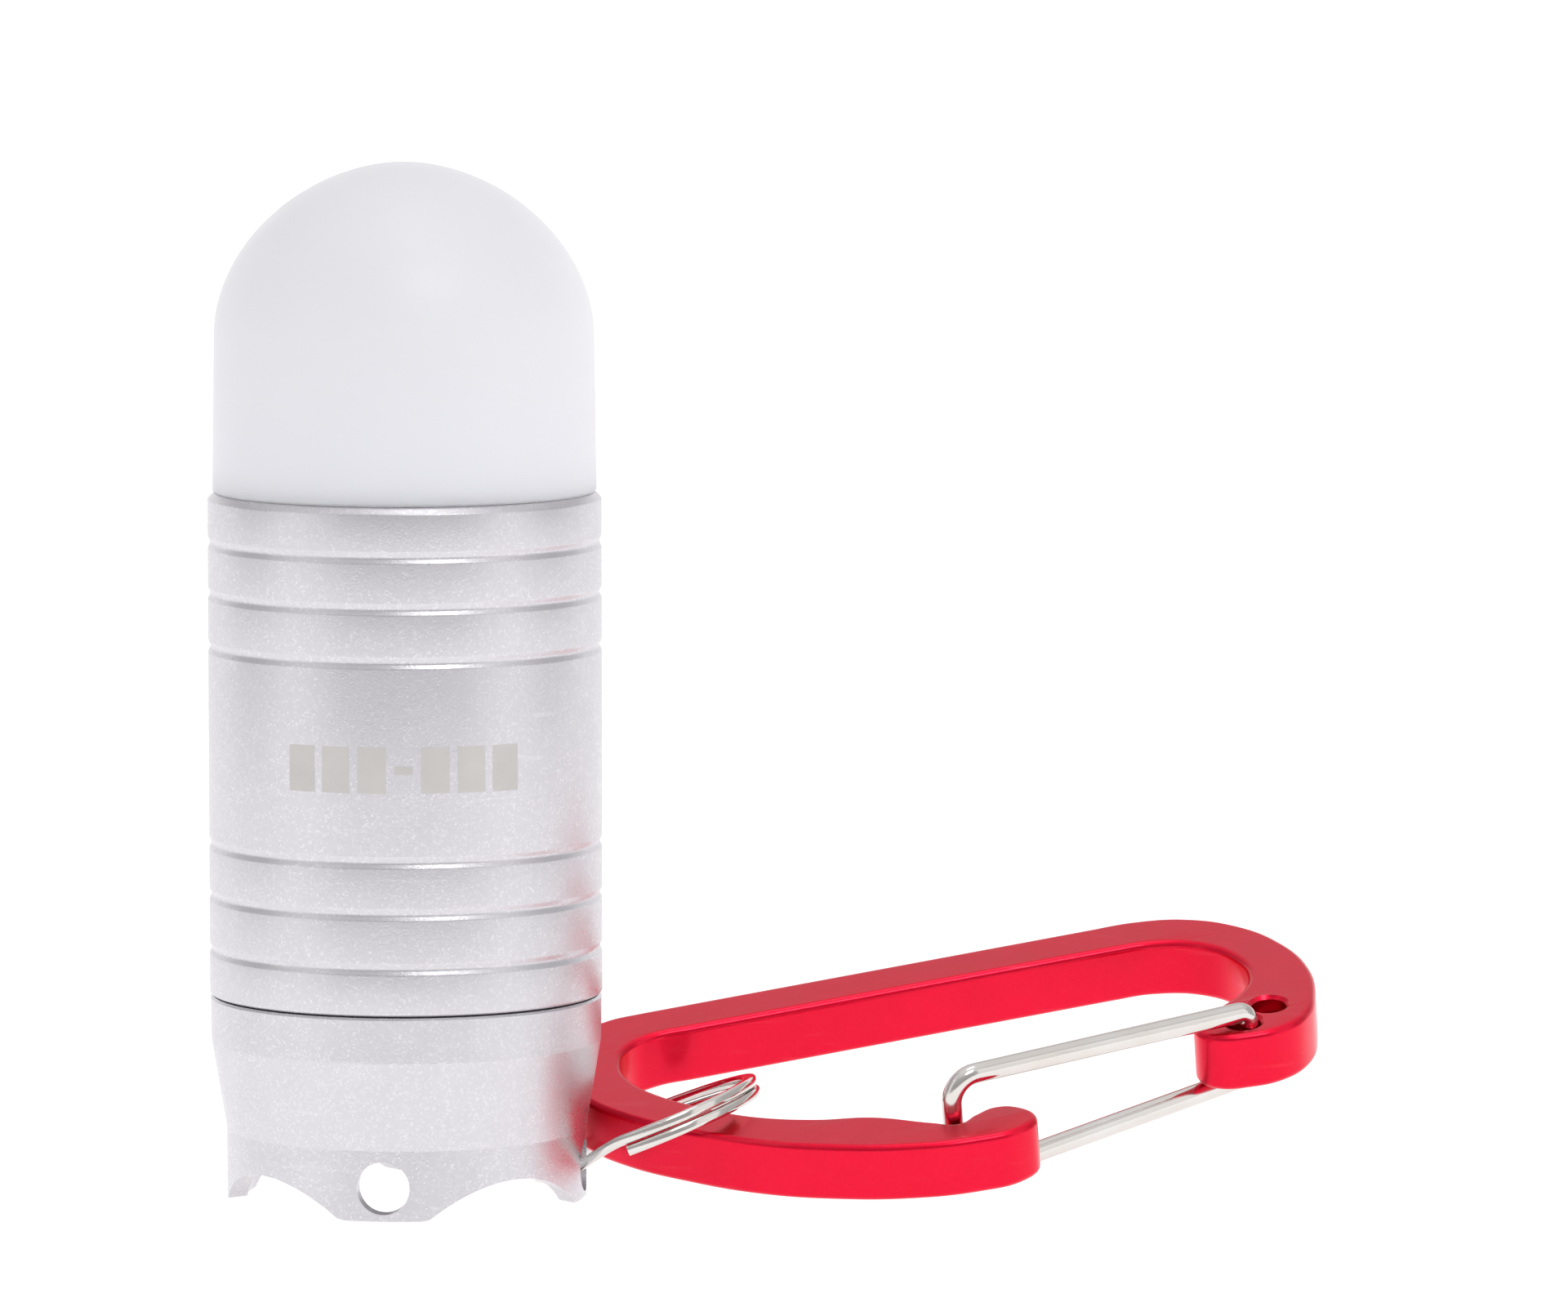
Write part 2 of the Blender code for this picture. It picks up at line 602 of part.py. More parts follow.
def make_carabiner(material, parent):
    """Flat bar bent into a D: an extruded outline with rounded edges and two holes for the gate wire."""
    curve = bpy.data.curves.new("carabiner_frame", "CURVE")
    curve.dimensions = "2D"
    curve.fill_mode = "BOTH"
    curve.extrude = CLIP_THICKNESS / 2
    curve.resolution_u = 3
    outline = curve.splines.new("BEZIER")
    outline.bezier_points.add(len(CLIP_OUTLINE) - 1)
    for knot, (x, y, handle) in zip(outline.bezier_points, CLIP_OUTLINE):
        knot.co = (x * MM, y * MM, 0.0)
        knot.handle_left_type = handle
        knot.handle_right_type = handle
    outline.use_cyclic_u = True
    source = bpy.data.objects.new("carabiner_outline", curve)
    PARTS.objects.link(source)
    bpy.context.view_layer.update()
    mesh = bpy.data.meshes.new_from_object(source.evaluated_get(bpy.context.evaluated_depsgraph_get()))
    bpy.data.objects.remove(source)
    shape = bmesh.new()
    shape.from_mesh(mesh)
    bmesh.ops.remove_doubles(shape, verts=shape.verts, dist=0.00001)
    bmesh.ops.dissolve_limit(shape, angle_limit=radians(0.5), verts=shape.verts, edges=shape.edges)
    bmesh.ops.translate(shape, verts=shape.verts, vec=(0.0, 0.0, -CLIP_THICKNESS / 2))
    bmesh.ops.recalc_face_normals(shape, faces=shape.faces)
    shape.to_mesh(mesh)
    shape.free()
    mesh.name = "carabiner_frame"
    frame = add_part("carabiner_frame", mesh, material, parent)
    edges = frame.modifiers.new("rounded_edges", "BEVEL")
    edges.width = CLIP_EDGE
    edges.segments = 2
    edges.limit_method = "ANGLE"
    edges.angle_limit = radians(50)
    for i, (x, y) in enumerate(GATE_HOLES):
        hole = Matrix.Translation((x, y, -CLIP_THICKNESS / 2))
        cutter = round_cutter("gate_hole_cutter_%d" % (i + 1), GATE_HOLE_RADIUS, 6.0 * MM, hole, 20)
        cutter.parent = parent
        cut(frame, cutter)
    return frame


def make_gate(material, parent, pivot):
    """One wire: down into the first hole, along the top, through the notch, and back below."""
    outward = Vector((GATE_HOLES[0][0] - pivot.x, GATE_HOLES[0][1] - pivot.y, 0.0)).normalized()
    sideways = Vector((outward.y, -outward.x, 0.0))
    first = Vector((*GATE_HOLES[0], 0.0)) - sideways * GATE_PLAY
    second = Vector((*GATE_HOLES[1], 0.0)) + sideways * GATE_PLAY
    notch = Vector((*GATE_NOTCH, 0.0))
    stops = [
        (first, GATE_FIRST_END),
        (first, GATE_LOW_TOP),
        (notch, GATE_HIGH_TOP),
        (notch, GATE_BELOW),
        (second, GATE_BELOW),
        (second, GATE_LAST_END),
    ]
    corners = [place + Vector((0.0, 0.0, height)) for place, height in stops]
    bends = [GATE_SMALL_BEND, GATE_WIDE_BEND, GATE_WIDE_BEND, GATE_SMALL_BEND]
    points = [place - pivot for place in rounded_path(corners, bends)]
    return wire_curve("gate_wire", points, WIRE_RADIUS, material, parent)


def build():
    aluminium = new_material("blasted_aluminium", (0.72, 0.72, 0.74), 0.42, 1.0)
    materials = {
        "inner_metal": new_material("plain_aluminium", (0.66, 0.66, 0.67), 0.35, 1.0),
        "white_plastic": new_material("white_plastic", (0.86, 0.86, 0.84), 0.45, 0.0),
        "black_plastic": new_material("black_plastic", (0.03, 0.03, 0.03), 0.5, 0.0),
        "board": new_material("green_board", (0.04, 0.19, 0.08), 0.4, 0.0),
        "led": new_material("led_lens", (0.93, 0.84, 0.42), 0.2, 0.0),
        "spring_steel": new_material("spring_steel", (0.62, 0.61, 0.58), 0.25, 1.0),
        "cell_steel": new_material("cell_steel", (0.74, 0.73, 0.70), 0.2, 1.0),
        "brass": new_material("contact_brass", (0.80, 0.58, 0.24), 0.3, 1.0),
        "rubber": new_material("black_rubber", (0.02, 0.02, 0.02), 0.7, 0.0),
    }
    opal = new_material("opal_plastic", (0.88, 0.88, 0.90), 0.3, 0.0)
    ring_steel = new_material("polished_steel", (0.75, 0.73, 0.70), 0.12, 1.0)
    red = new_material("red_anodised", (0.62, 0.01, 0.04), 0.25, 0.8)

    torch = new_empty("torch_axis", (TORCH_X, TORCH_Y, 0.0))
    make_sleeve(aluminium, torch)
    make_dome(opal, torch)
    make_light_unit(materials, torch)
    make_battery_pack(materials, torch)
    seal = round_ring_profile(CAP_SEAL_RADIUS, CAP_SEAL_WIRE, (CAP_GROOVE_LOW + CAP_GROOVE_HIGH) / 2)
    turned("cap_o_ring", seal, materials["rubber"], torch, 24)
    cap_axis = new_empty("cap_axis", parent=torch)
    make_tail_cap(aluminium, cap_axis)
    make_switch(materials, cap_axis)
    make_button(materials, cap_axis)

    ring_axis = new_empty("ring_centre", RING_CENTRE, torch)
    ring_axis.rotation_mode = "QUATERNION"
    ring_axis.rotation_quaternion = Vector(RING_NORMAL).to_track_quat("Z", "Y")
    make_split_ring(ring_steel, ring_axis)

    clip = new_empty("carabiner_plate", CLIP_ORIGIN, torch)
    yaw = Matrix.Rotation(CLIP_YAW, 3, "Z")
    rise = Matrix.Rotation(-CLIP_RISE, 3, "Y")
    tilt = Matrix.Rotation(CLIP_TILT, 3, "X")
    clip.rotation_euler = (yaw @ rise @ tilt).to_euler()
    make_carabiner(red, clip)
    pivot = (Vector((*GATE_HOLES[0], 0.0)) + Vector((*GATE_HOLES[1], 0.0))) / 2
    gate_pivot = new_empty("gate_pivot", pivot, clip)
    make_gate(ring_steel, gate_pivot, pivot)


build()
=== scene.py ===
"""Keychain flashlight: a blasted torch with an opal dome, a split ring and a red snap carabiner."""
import json
from math import cos, pi, radians, sin, sqrt, tau

import bmesh
import bpy
from mathutils import Matrix, Vector


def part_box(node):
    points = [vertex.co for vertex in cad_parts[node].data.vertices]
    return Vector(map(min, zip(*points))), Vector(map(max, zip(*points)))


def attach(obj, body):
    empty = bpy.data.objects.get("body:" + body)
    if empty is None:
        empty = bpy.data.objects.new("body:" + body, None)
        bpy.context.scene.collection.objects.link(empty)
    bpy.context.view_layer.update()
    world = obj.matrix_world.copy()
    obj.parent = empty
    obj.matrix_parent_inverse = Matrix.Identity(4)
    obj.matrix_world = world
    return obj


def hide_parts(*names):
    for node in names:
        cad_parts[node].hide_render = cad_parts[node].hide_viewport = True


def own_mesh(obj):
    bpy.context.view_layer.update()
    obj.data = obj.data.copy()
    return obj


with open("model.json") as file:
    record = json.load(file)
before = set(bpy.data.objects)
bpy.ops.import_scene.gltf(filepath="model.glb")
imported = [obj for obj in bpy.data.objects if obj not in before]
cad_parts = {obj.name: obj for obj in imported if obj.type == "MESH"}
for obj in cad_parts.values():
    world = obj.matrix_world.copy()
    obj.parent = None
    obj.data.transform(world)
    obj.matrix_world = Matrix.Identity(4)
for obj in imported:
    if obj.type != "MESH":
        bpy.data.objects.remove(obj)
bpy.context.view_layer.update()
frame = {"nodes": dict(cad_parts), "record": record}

MM = 0.001

# ---------------------------------------------------------------- driving sizes

SLEEVE_LOW, SLEEVE_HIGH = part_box("body_sleeve")
CAP_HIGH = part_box("tail_cap")[1]
DOME_LOW, DOME_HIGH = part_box("diffuser_dome")
AXIS = Vector(((SLEEVE_LOW.x + SLEEVE_HIGH.x) / 2, (SLEEVE_LOW.y + SLEEVE_HIGH.y) / 2, 0.0))
BODY_RADIUS = (SLEEVE_HIGH.x - SLEEVE_LOW.x) / 2
BORE_RADIUS = 10.85 * MM
SEAM_HIGH = SLEEVE_LOW.z
SLEEVE_TOP = SLEEVE_HIGH.z
SEAM_LOW = 12.50 * MM
GROOVE_HEIGHTS = [40.27 * MM, 37.16 * MM, 33.93 * MM, 21.90 * MM, 18.75 * MM, 15.45 * MM]
GROOVE_WIDTH = 0.70 * MM
GROOVE_DEPTH = 0.14 * MM
THREAD_PITCH = 1.0 * MM
THREAD_DEPTH = 0.22 * MM
EDGE_BREAK = 0.14 * MM
RIM_CHAMFER = 0.40 * MM
GROOVE_FLAT = 0.08 * MM
BORE_THREAD_TOP = 18.0 * MM
BORE_THREAD_LOW = 14.0 * MM
BORE_RELIEF = 18.4 * MM
SHELF_RADIUS = 8.40 * MM
SHELF_LOW = 36.5 * MM
SHELF_HIGH = 37.3 * MM

DOME_BASE = 43.30 * MM
DOME_BASE_RADIUS = 11.70 * MM
DOME_SPRING = 52.90 * MM
DOME_SPRING_RADIUS = 11.57 * MM
DOME_SHAPE = 1.88
DOME_WALL = 1.50 * MM
NECK_RADIUS = 10.50 * MM
NECK_BORE = 9.20 * MM
DOME_FOOT_CHAMFER = 0.15 * MM
DOME_INNER_FOOT = 44.0 * MM
SEAL_RADIUS = 9.90 * MM
DOME_SEAL_HIGH = 42.60 * MM
DOME_SEAL_LOW = 41.70 * MM

MARK_BLOCKS = 3
MARK_START = -7.0 * MM
MARK_WIDTH = 1.75 * MM
MARK_HEIGHT = 2.80 * MM
MARK_DASH_WIDTH = 1.10 * MM
MARK_DASH_HEIGHT = 0.50 * MM
MARK_GAP = 0.50 * MM
MARK_MIDDLE = 27.5 * MM
MARK_PROUD = 0.006 * MM
MARK_STEPS = 8

LUG_TURN = radians(-5.6)
LUG_HOLE_RADIUS = 1.60 * MM
LUG_HOLE_HEIGHT = 2.04 * MM
SCALLOP_RADIUS = 8.20 * MM
SCALLOP_DEPTH = 2.25 * MM
LUG_CORNER = 0.95 * MM
SKIRT_RADIUS = 11.0 * MM
SKIRT_BORE = 9.75 * MM
SKIRT_BREAK = 0.12 * MM
RECESS_ROOF = 3.90 * MM
RECESS_HOLE = 4.60 * MM
CAP_FLOOR = 5.40 * MM
CAP_BORE = 9.35 * MM
CAP_RADIUS = 11.95 * MM
CAP_WAIST_HIGH = 9.75 * MM
CAP_WAIST_HIGH_RADIUS = 11.91 * MM
CAP_WAIST_LOW = 4.65 * MM
CAP_WAIST_LOW_RADIUS = 11.05 * MM
SKIRT_TOP = 4.30 * MM
CAP_NECK_RADIUS = 10.55 * MM
CAP_THREAD_TOP = 17.2 * MM
CAP_THREAD_LOW = 14.4 * MM
CAP_SEAL_HIGH = 14.20 * MM
CAP_SEAL_LOW = 13.20 * MM
CUTTER_LENGTH = 30.0 * MM
WAIST_CREASE = 7.0

RING_CENTRE = AXIS + Vector((14.50, 4.34, 3.50)) * MM
RING_NORMAL = Vector((-0.363, 0.051, 0.931))
RING_RADIUS = 7.1 * MM
RING_WIRE_WIDTH = 0.92 * MM
RING_WIRE_HEIGHT = 0.64 * MM
RING_PITCH = 0.72 * MM
RING_JOG = radians(36.0)
RING_STEPS = 340
RING_CORNER = 0.26 * MM

CLIP_ORIGIN = AXIS + Vector((26.81, -3.72, 3.84)) * MM
CLIP_YAW = radians(14.0)
CLIP_RISE = radians(8.5)
CLIP_TILT = radians(16.5)
CLIP_THICKNESS = 3.75 * MM
CLIP_EDGE = 0.45 * MM
CLIP_OUTLINE = [
    # hook end and the notch that the gate rests in
    (11.9, -1.2, "AUTO"), (11.3, 0.5, "AUTO"), (9.9, 1.15, "AUTO"), (8.4, 0.6, "AUTO"),
    (7.1, -0.15, "AUTO"), (5.9, 0.55, "AUTO"),
    # inner edge of the front arm, round the left end
    (2.6, 2.85, "AUTO"), (-0.8, 4.0, "AUTO"), (-4.2, 5.95, "AUTO"), (-6.5, 8.2, "AUTO"),
    (-8.6, 10.9, "AUTO"), (-9.8, 13.7, "AUTO"), (-9.8, 16.2, "AUTO"), (-8.8, 18.2, "AUTO"),
    (-6.8, 19.15, "AUTO"),
    # inner edge of the back bar, round the right end to the nose
    (-4.5, 19.2, "VECTOR"), (23.0, 19.2, "VECTOR"), (25.6, 19.05, "AUTO"), (28.4, 17.6, "AUTO"),
    (29.9, 15.0, "AUTO"), (29.9, 12.4, "AUTO"), (28.7, 10.3, "AUTO"), (26.8, 8.8, "AUTO"),
    (25.0, 7.6, "AUTO"), (24.4, 6.1, "AUTO"), (25.1, 4.7, "AUTO"), (27.2, 4.0, "AUTO"),
    (29.6, 4.2, "AUTO"), (31.6, 5.6, "AUTO"),
    # outer edge, back to the hook
    (33.0, 8.4, "AUTO"), (33.8, 12.2, "AUTO"), (33.3, 16.0, "AUTO"), (31.6, 19.4, "AUTO"),
    (28.8, 21.8, "AUTO"), (25.5, 22.75, "AUTO"), (22.5, 22.8, "VECTOR"), (-6.5, 22.8, "VECTOR"),
    (-9.1, 22.6, "AUTO"), (-11.7, 21.2, "AUTO"), (-13.3, 18.6, "AUTO"), (-13.8, 15.4, "AUTO"),
    (-13.2, 12.2, "AUTO"), (-11.6, 9.1, "AUTO"), (-9.0, 5.95, "AUTO"), (-5.0, 2.2, "AUTO"),
    (-0.8, -0.4, "AUTO"), (3.3, -2.1, "AUTO"), (7.5, -2.9, "AUTO"), (10.5, -2.6, "AUTO"),
]
WIRE_RADIUS = 0.65 * MM
COIL_WIRE = 0.16 * MM
COIL_RADIUS = 2.70 * MM
COIL_TURNS = 3
COIL_SIDES = 12
COIL_STEPS_PER_TURN = 36
GATE_HOLE_RADIUS = 1.10 * MM
GATE_HOLES = [Vector((27.5, 6.0, 0.0)) * MM, Vector((29.7, 7.7, 0.0)) * MM]
GATE_NOTCH = Vector((7.15, 0.95, 0.0)) * MM
GATE_HOLE_FLARE = 0.22 * MM
GATE_PLAY = 0.33 * MM
GATE_BENDS = [0.75 * MM, 1.6 * MM, 1.6 * MM, 0.75 * MM]
GATE_HEIGHT_AT_HOLE = 0.78 * MM
GATE_HEIGHT_AT_NOTCH = 2.40 * MM
GATE_END_DEPTH = 3.0 * MM
GATE_UNDERPASS = 0.80 * MM

FINE_STEPS = 180
CAP_STEPS = 240
HOLE_STEPS = 72
CURVE_STEPS = 24
WIRE_SIDES = 24
POLE_RADIUS = 1e-7
FLOOR_DROP = 16.0 * MM
FLOOR_FRONT = -2.5
FLOOR_BACK = 0.9
FLOOR_BEND = 0.5
FLOOR_HALF_WIDTH = 3.0
BACKDROP_TOP = 0.7
LENS = 246.0
CAMERA_PLACE = Vector((23.1, -650.0, 99.25)) * MM
CAMERA_DROP = radians(5.755)
FLOOR_GLOW = 0.38
SURROUND = 0.58
SURROUND_FRONT = 0.46
SURROUND_OVERHEAD = 0.35

scene = bpy.context.scene


# ---------------------------------------------------------------- node helpers

def add_node(tree, kind, **settings):
    node = tree.nodes.new(kind)
    for key, value in settings.items():
        setattr(node, key, value)
    return node


def scaled(tree, value, share):
    return math_node(tree, "MULTIPLY", value, share)


def set_input(tree, node, name, value):
    """Give a socket a plain value, or link another node's output to it."""
    socket = node.inputs[name]
    if isinstance(value, bpy.types.NodeSocket):
        tree.links.new(value, socket)
    elif isinstance(value, tuple) and len(value) == 3 and socket.type == "RGBA":
        socket.default_value = (*value, 1.0)
    else:
        socket.default_value = value
    return node


def math_node(tree, operation, first, second):
    node = add_node(tree, "ShaderNodeMath", operation=operation)
    set_input(tree, node, 0, first)
    set_input(tree, node, 1, second)
    return node.outputs[0]


def noise_node(tree, vector, scale, detail=3.0, roughness=0.55):
    node = add_node(tree, "ShaderNodeTexNoise")
    tree.links.new(vector, node.inputs["Vector"])
    set_input(tree, node, "Scale", scale)
    set_input(tree, node, "Detail", detail)
    set_input(tree, node, "Roughness", roughness)
    return node.outputs["Fac"]


def ranged(tree, value, low, high, to_low=0.0, to_high=1.0):
    node = add_node(tree, "ShaderNodeMapRange")
    node.clamp = True
    set_input(tree, node, "Value", value)
    set_input(tree, node, "From Min", low)
    set_input(tree, node, "From Max", high)
    set_input(tree, node, "To Min", to_low)
    set_input(tree, node, "To Max", to_high)
    return node.outputs["Result"]


def mixed_colour(tree, factor, first, second):
    """One colour turning into another as the factor goes from 0 to 1."""
    node = add_node(tree, "ShaderNodeMix", data_type="RGBA")
    for name, kind, value in (("Factor", "VALUE", factor), ("A", "RGBA", first), ("B", "RGBA", second)):
        socket = [entry for entry in node.inputs if entry.name == name and entry.type == kind][0]
        if isinstance(value, bpy.types.NodeSocket):
            tree.links.new(value, socket)
        elif isinstance(value, tuple):
            socket.default_value = (*value, 1.0)
        else:
            socket.default_value = value
    return [entry for entry in node.outputs if entry.type == "RGBA"][0]


def new_group(name, inputs, outputs):
    """A shader group with float inputs (name, default) and outputs (name, socket type)."""
    group = bpy.data.node_groups.new(name, "ShaderNodeTree")
    for label, default in inputs:
        socket = group.interface.new_socket(name=label, in_out="INPUT", socket_type="NodeSocketFloat")
        socket.default_value = default
    for label, kind in outputs:
        group.interface.new_socket(name=label, in_out="OUTPUT", socket_type=kind)
    start = group.nodes.new("NodeGroupInput")
    end = group.nodes.new("NodeGroupOutput")
    return group, start, end


def object_place(tree):
    return tree.nodes.new("ShaderNodeTexCoord").outputs["Object"]


def make_blasted_group():
    """Bead-blasted skin: fine rounded pits with scattered facet spots, which the materials lighten into
    painted glints.
    """
    group, start, end = new_group(
        "blasted_skin",
        [("Grain Scale", 8200.0), ("Facet Scale", 8600.0)],
        [("Height", "NodeSocketFloat"), ("Facets And Glints", "NodeSocketFloat"), ("Mottle", "NodeSocketFloat")],
    )
    place = object_place(group)
    fine = noise_node(group, place, start.outputs["Grain Scale"], 4.0, 0.62)
    pits = add_node(group, "ShaderNodeTexVoronoi", feature="F1")
    group.links.new(place, pits.inputs["Vector"])
    group.links.new(start.outputs["Facet Scale"], pits.inputs["Scale"])
    height = math_node(group, "ADD", scaled(group, fine, 0.85), scaled(group, pits.outputs["Distance"], 0.15))
    colour = add_node(group, "ShaderNodeSeparateColor")
    group.links.new(pits.outputs["Color"], colour.inputs[0])
    # Mask of scattered facet spots: it sets their roughness and, in the colour, their painted glints.
    facet_glints = ranged(group, colour.outputs[0], 0.70, 1.0)
    mottle = noise_node(group, place, 420.0, 3.0, 0.5)
    group.links.new(height, end.inputs["Height"])
    group.links.new(facet_glints, end.inputs["Facets And Glints"])
    group.links.new(mottle, end.inputs["Mottle"])
    return group


def make_handling_group():
    """Faint smears and hairline scratches from being carried."""
    group, start, end = new_group(
        "handling_marks",
        [("Smear Scale", 90.0), ("Scratch Scale", 900.0), ("Scratch Share", 0.5)],
        [("Smears", "NodeSocketFloat"), ("Scratches", "NodeSocketFloat")],
    )
    place = object_place(group)
    smears = ranged(group, noise_node(group, place, start.outputs["Smear Scale"], 4.0, 0.6), 0.35, 0.70)
    stretch = add_node(group, "ShaderNodeMapping")
    group.links.new(place, stretch.inputs["Vector"])
    stretch.inputs["Scale"].default_value = (0.12, 0.30, 2.2)
    stretch.inputs["Rotation"].default_value = (0.4, 0.3, 0.2)
    lines = noise_node(group, stretch.outputs["Vector"], start.outputs["Scratch Scale"], 2.0, 0.4)
    sharp = ranged(group, lines, 0.66, 0.74)
    scratches = math_node(group, "MULTIPLY", sharp, start.outputs["Scratch Share"])
    group.links.new(smears, end.inputs["Smears"])
    group.links.new(scratches, end.inputs["Scratches"])
    return group


def make_turning_group():
    """Fine rings left by a lathe tool, about the torch axis."""
    group, start, end = new_group("turning_rings", [("Ring Scale", 3000.0)], [("Height", "NodeSocketFloat")])
    place = object_place(group)
    shift = add_node(group, "ShaderNodeVectorMath", operation="SUBTRACT")
    group.links.new(place, shift.inputs[0])
    shift.inputs[1].default_value = AXIS
    split = add_node(group, "ShaderNodeSeparateXYZ")
    group.links.new(shift.outputs[0], split.inputs[0])
    flat = add_node(group, "ShaderNodeCombineXYZ")
    group.links.new(split.outputs["X"], flat.inputs["X"])
    group.links.new(split.outputs["Y"], flat.inputs["Y"])
    radius = add_node(group, "ShaderNodeVectorMath", operation="LENGTH")
    group.links.new(flat.outputs[0], radius.inputs[0])
    along = math_node(group, "ADD", radius.outputs["Value"], split.outputs["Z"])
    phase = add_node(group, "ShaderNodeCombineXYZ")
    group.links.new(along, phase.inputs["X"])
    rings = noise_node(group, phase.outputs[0], start.outputs["Ring Scale"], 2.0, 0.5)
    group.links.new(rings, end.inputs["Height"])
    return group


BLASTED = make_blasted_group()
HANDLING = make_handling_group()
TURNING = make_turning_group()


def place_group(tree, group, **values):
    node = tree.nodes.new("ShaderNodeGroup")
    node.node_tree = group
    for label, value in values.items():
        node.inputs[label.replace("_", " ")].default_value = value
    return node


def new_material(name, **settings):
    """A Principled material; settings with plain values go straight on the shader's sockets."""
    material = bpy.data.materials.new(name)
    material.use_nodes = True
    tree = material.node_tree
    shader = tree.nodes["Principled BSDF"]
    for key, value in settings.items():
        set_input(tree, shader, key.replace("_", " "), value)
    return material, tree, shader


def add_bump(tree, shader, height, strength, distance):
    bump = tree.nodes.new("ShaderNodeBump")
    bump.inputs["Strength"].default_value = strength
    bump.inputs["Distance"].default_value = distance
    tree.links.new(height, bump.inputs["Height"])
    tree.links.new(bump.outputs["Normal"], shader.inputs["Normal"])


# ---------------------------------------------------------------- materials

def blasted_aluminium():
    material, tree, shader = new_material("blasted_aluminium", Metallic=1.0)
    skin = place_group(tree, BLASTED)
    marks = place_group(tree, HANDLING, Scratch_Share=0.35)
    base = mixed_colour(tree, skin.outputs["Mottle"], (0.595, 0.582, 0.61), (0.64, 0.627, 0.655))
    # Painted glints: the scattered facet spots are lightened towards near-white in the base colour.
    base = mixed_colour(tree, scaled(tree, skin.outputs["Facets And Glints"], 0.20), base, (0.95, 0.94, 0.96))
    base = mixed_colour(tree, scaled(tree, marks.outputs["Scratches"], 0.35), base, (0.9, 0.9, 0.9))
    tree.links.new(base, shader.inputs["Base Color"])
    rough = ranged(tree, skin.outputs["Facets And Glints"], 0.0, 1.0, 0.34, 0.24)
    rough = math_node(tree, "ADD", rough, scaled(tree, marks.outputs["Smears"], 0.05))
    tree.links.new(rough, shader.inputs["Roughness"])
    add_bump(tree, shader, skin.outputs["Height"], 0.42, 0.00004)
    return material


def opal_plastic():
    material, tree, shader = new_material(
        "opal_plastic", IOR=1.49, Subsurface_Weight=0.85, Subsurface_Scale=0.004, Coat_Roughness=0.08
    )
    shader.inputs["Subsurface Radius"].default_value = (1.0, 0.95, 0.9)
    place = object_place(tree)
    cloud = noise_node(tree, place, 160.0, 3.0, 0.5)
    split = add_node(tree, "ShaderNodeSeparateXYZ")
    tree.links.new(place, split.inputs[0])
    # Painted light: the dome's base colour grows lighter from its foot towards its top, as if lit from above.
    painted_top_light = ranged(tree, split.outputs["Z"], DOME_BASE, DOME_SPRING, 0.0, 1.0)
    base = mixed_colour(tree, painted_top_light, (0.745, 0.745, 0.795), (0.805, 0.80, 0.845))
    base = mixed_colour(tree, scaled(tree, cloud, 0.06), base, (0.86, 0.86, 0.90))
    tree.links.new(base, shader.inputs["Base Color"])
    marks = place_group(tree, HANDLING, Scratch_Share=0.12)
    rough = ranged(tree, marks.outputs["Smears"], 0.0, 1.0, 0.40, 0.48)
    rough = math_node(tree, "ADD", rough, scaled(tree, marks.outputs["Scratches"], 0.25))
    tree.links.new(rough, shader.inputs["Roughness"])
    orange_peel = noise_node(tree, place, 700.0, 2.0, 0.4)
    add_bump(tree, shader, orange_peel, 0.10, 0.00003)
    return material


def red_anodised():
    material, tree, shader = new_material("red_anodised", Metallic=1.0, Coat_Weight=0.32, Coat_Roughness=0.16)
    skin = place_group(tree, BLASTED, Grain_Scale=7000.0, Facet_Scale=8000.0)
    marks = place_group(tree, HANDLING, Smear_Scale=130.0, Scratch_Scale=1200.0, Scratch_Share=0.55)
    base = mixed_colour(tree, skin.outputs["Mottle"], (0.70, 0.0, 0.024), (0.79, 0.0, 0.034))
    # Painted glints: the scattered facet spots are brightened towards a lighter red in the base colour.
    base = mixed_colour(tree, scaled(tree, skin.outputs["Facets And Glints"], 0.10), base, (1.0, 0.02, 0.08))
    base = mixed_colour(tree, scaled(tree, marks.outputs["Scratches"], 0.06), base, (0.95, 0.30, 0.34))
    tree.links.new(base, shader.inputs["Base Color"])
    rough = ranged(tree, marks.outputs["Smears"], 0.0, 1.0, 0.30, 0.38)
    tree.links.new(rough, shader.inputs["Roughness"])
    add_bump(tree, shader, skin.outputs["Height"], 0.22, 0.00002)
    return material


def polished_steel(name="polished_steel", warm=(0.62, 0.57, 0.52)):
    material, tree, shader = new_material(name, Metallic=1.0)
    marks = place_group(tree, HANDLING, Smear_Scale=320.0, Scratch_Scale=2600.0, Scratch_Share=0.8)
    place = object_place(tree)
    tint = noise_node(tree, place, 260.0, 2.0, 0.5)
    base = mixed_colour(tree, tint, (0.72, 0.71, 0.70), warm)
    tree.links.new(base, shader.inputs["Base Color"])
    rough = ranged(tree, marks.outputs["Smears"], 0.0, 1.0, 0.09, 0.17)
    rough = math_node(tree, "ADD", rough, scaled(tree, marks.outputs["Scratches"], 0.2))
    tree.links.new(rough, shader.inputs["Roughness"])
    drawn = noise_node(tree, place, 2600.0, 2.0, 0.5)
    add_bump(tree, shader, drawn, 0.12, 0.00001)
    return material


def turned_metal(name, dark, light, roughness):
    material, tree, shader = new_material(name, Metallic=1.0)
    rings = place_group(tree, TURNING)
    marks = place_group(tree, HANDLING)
    base = mixed_colour(tree, rings.outputs["Height"], dark, light)
    tree.links.new(base, shader.inputs["Base Color"])
    rough = ranged(tree, marks.outputs["Smears"], 0.0, 1.0, roughness, roughness + 0.12)
    tree.links.new(rough, shader.inputs["Roughness"])
    add_bump(tree, shader, rings.outputs["Height"], 0.35, 0.00003)
    return material


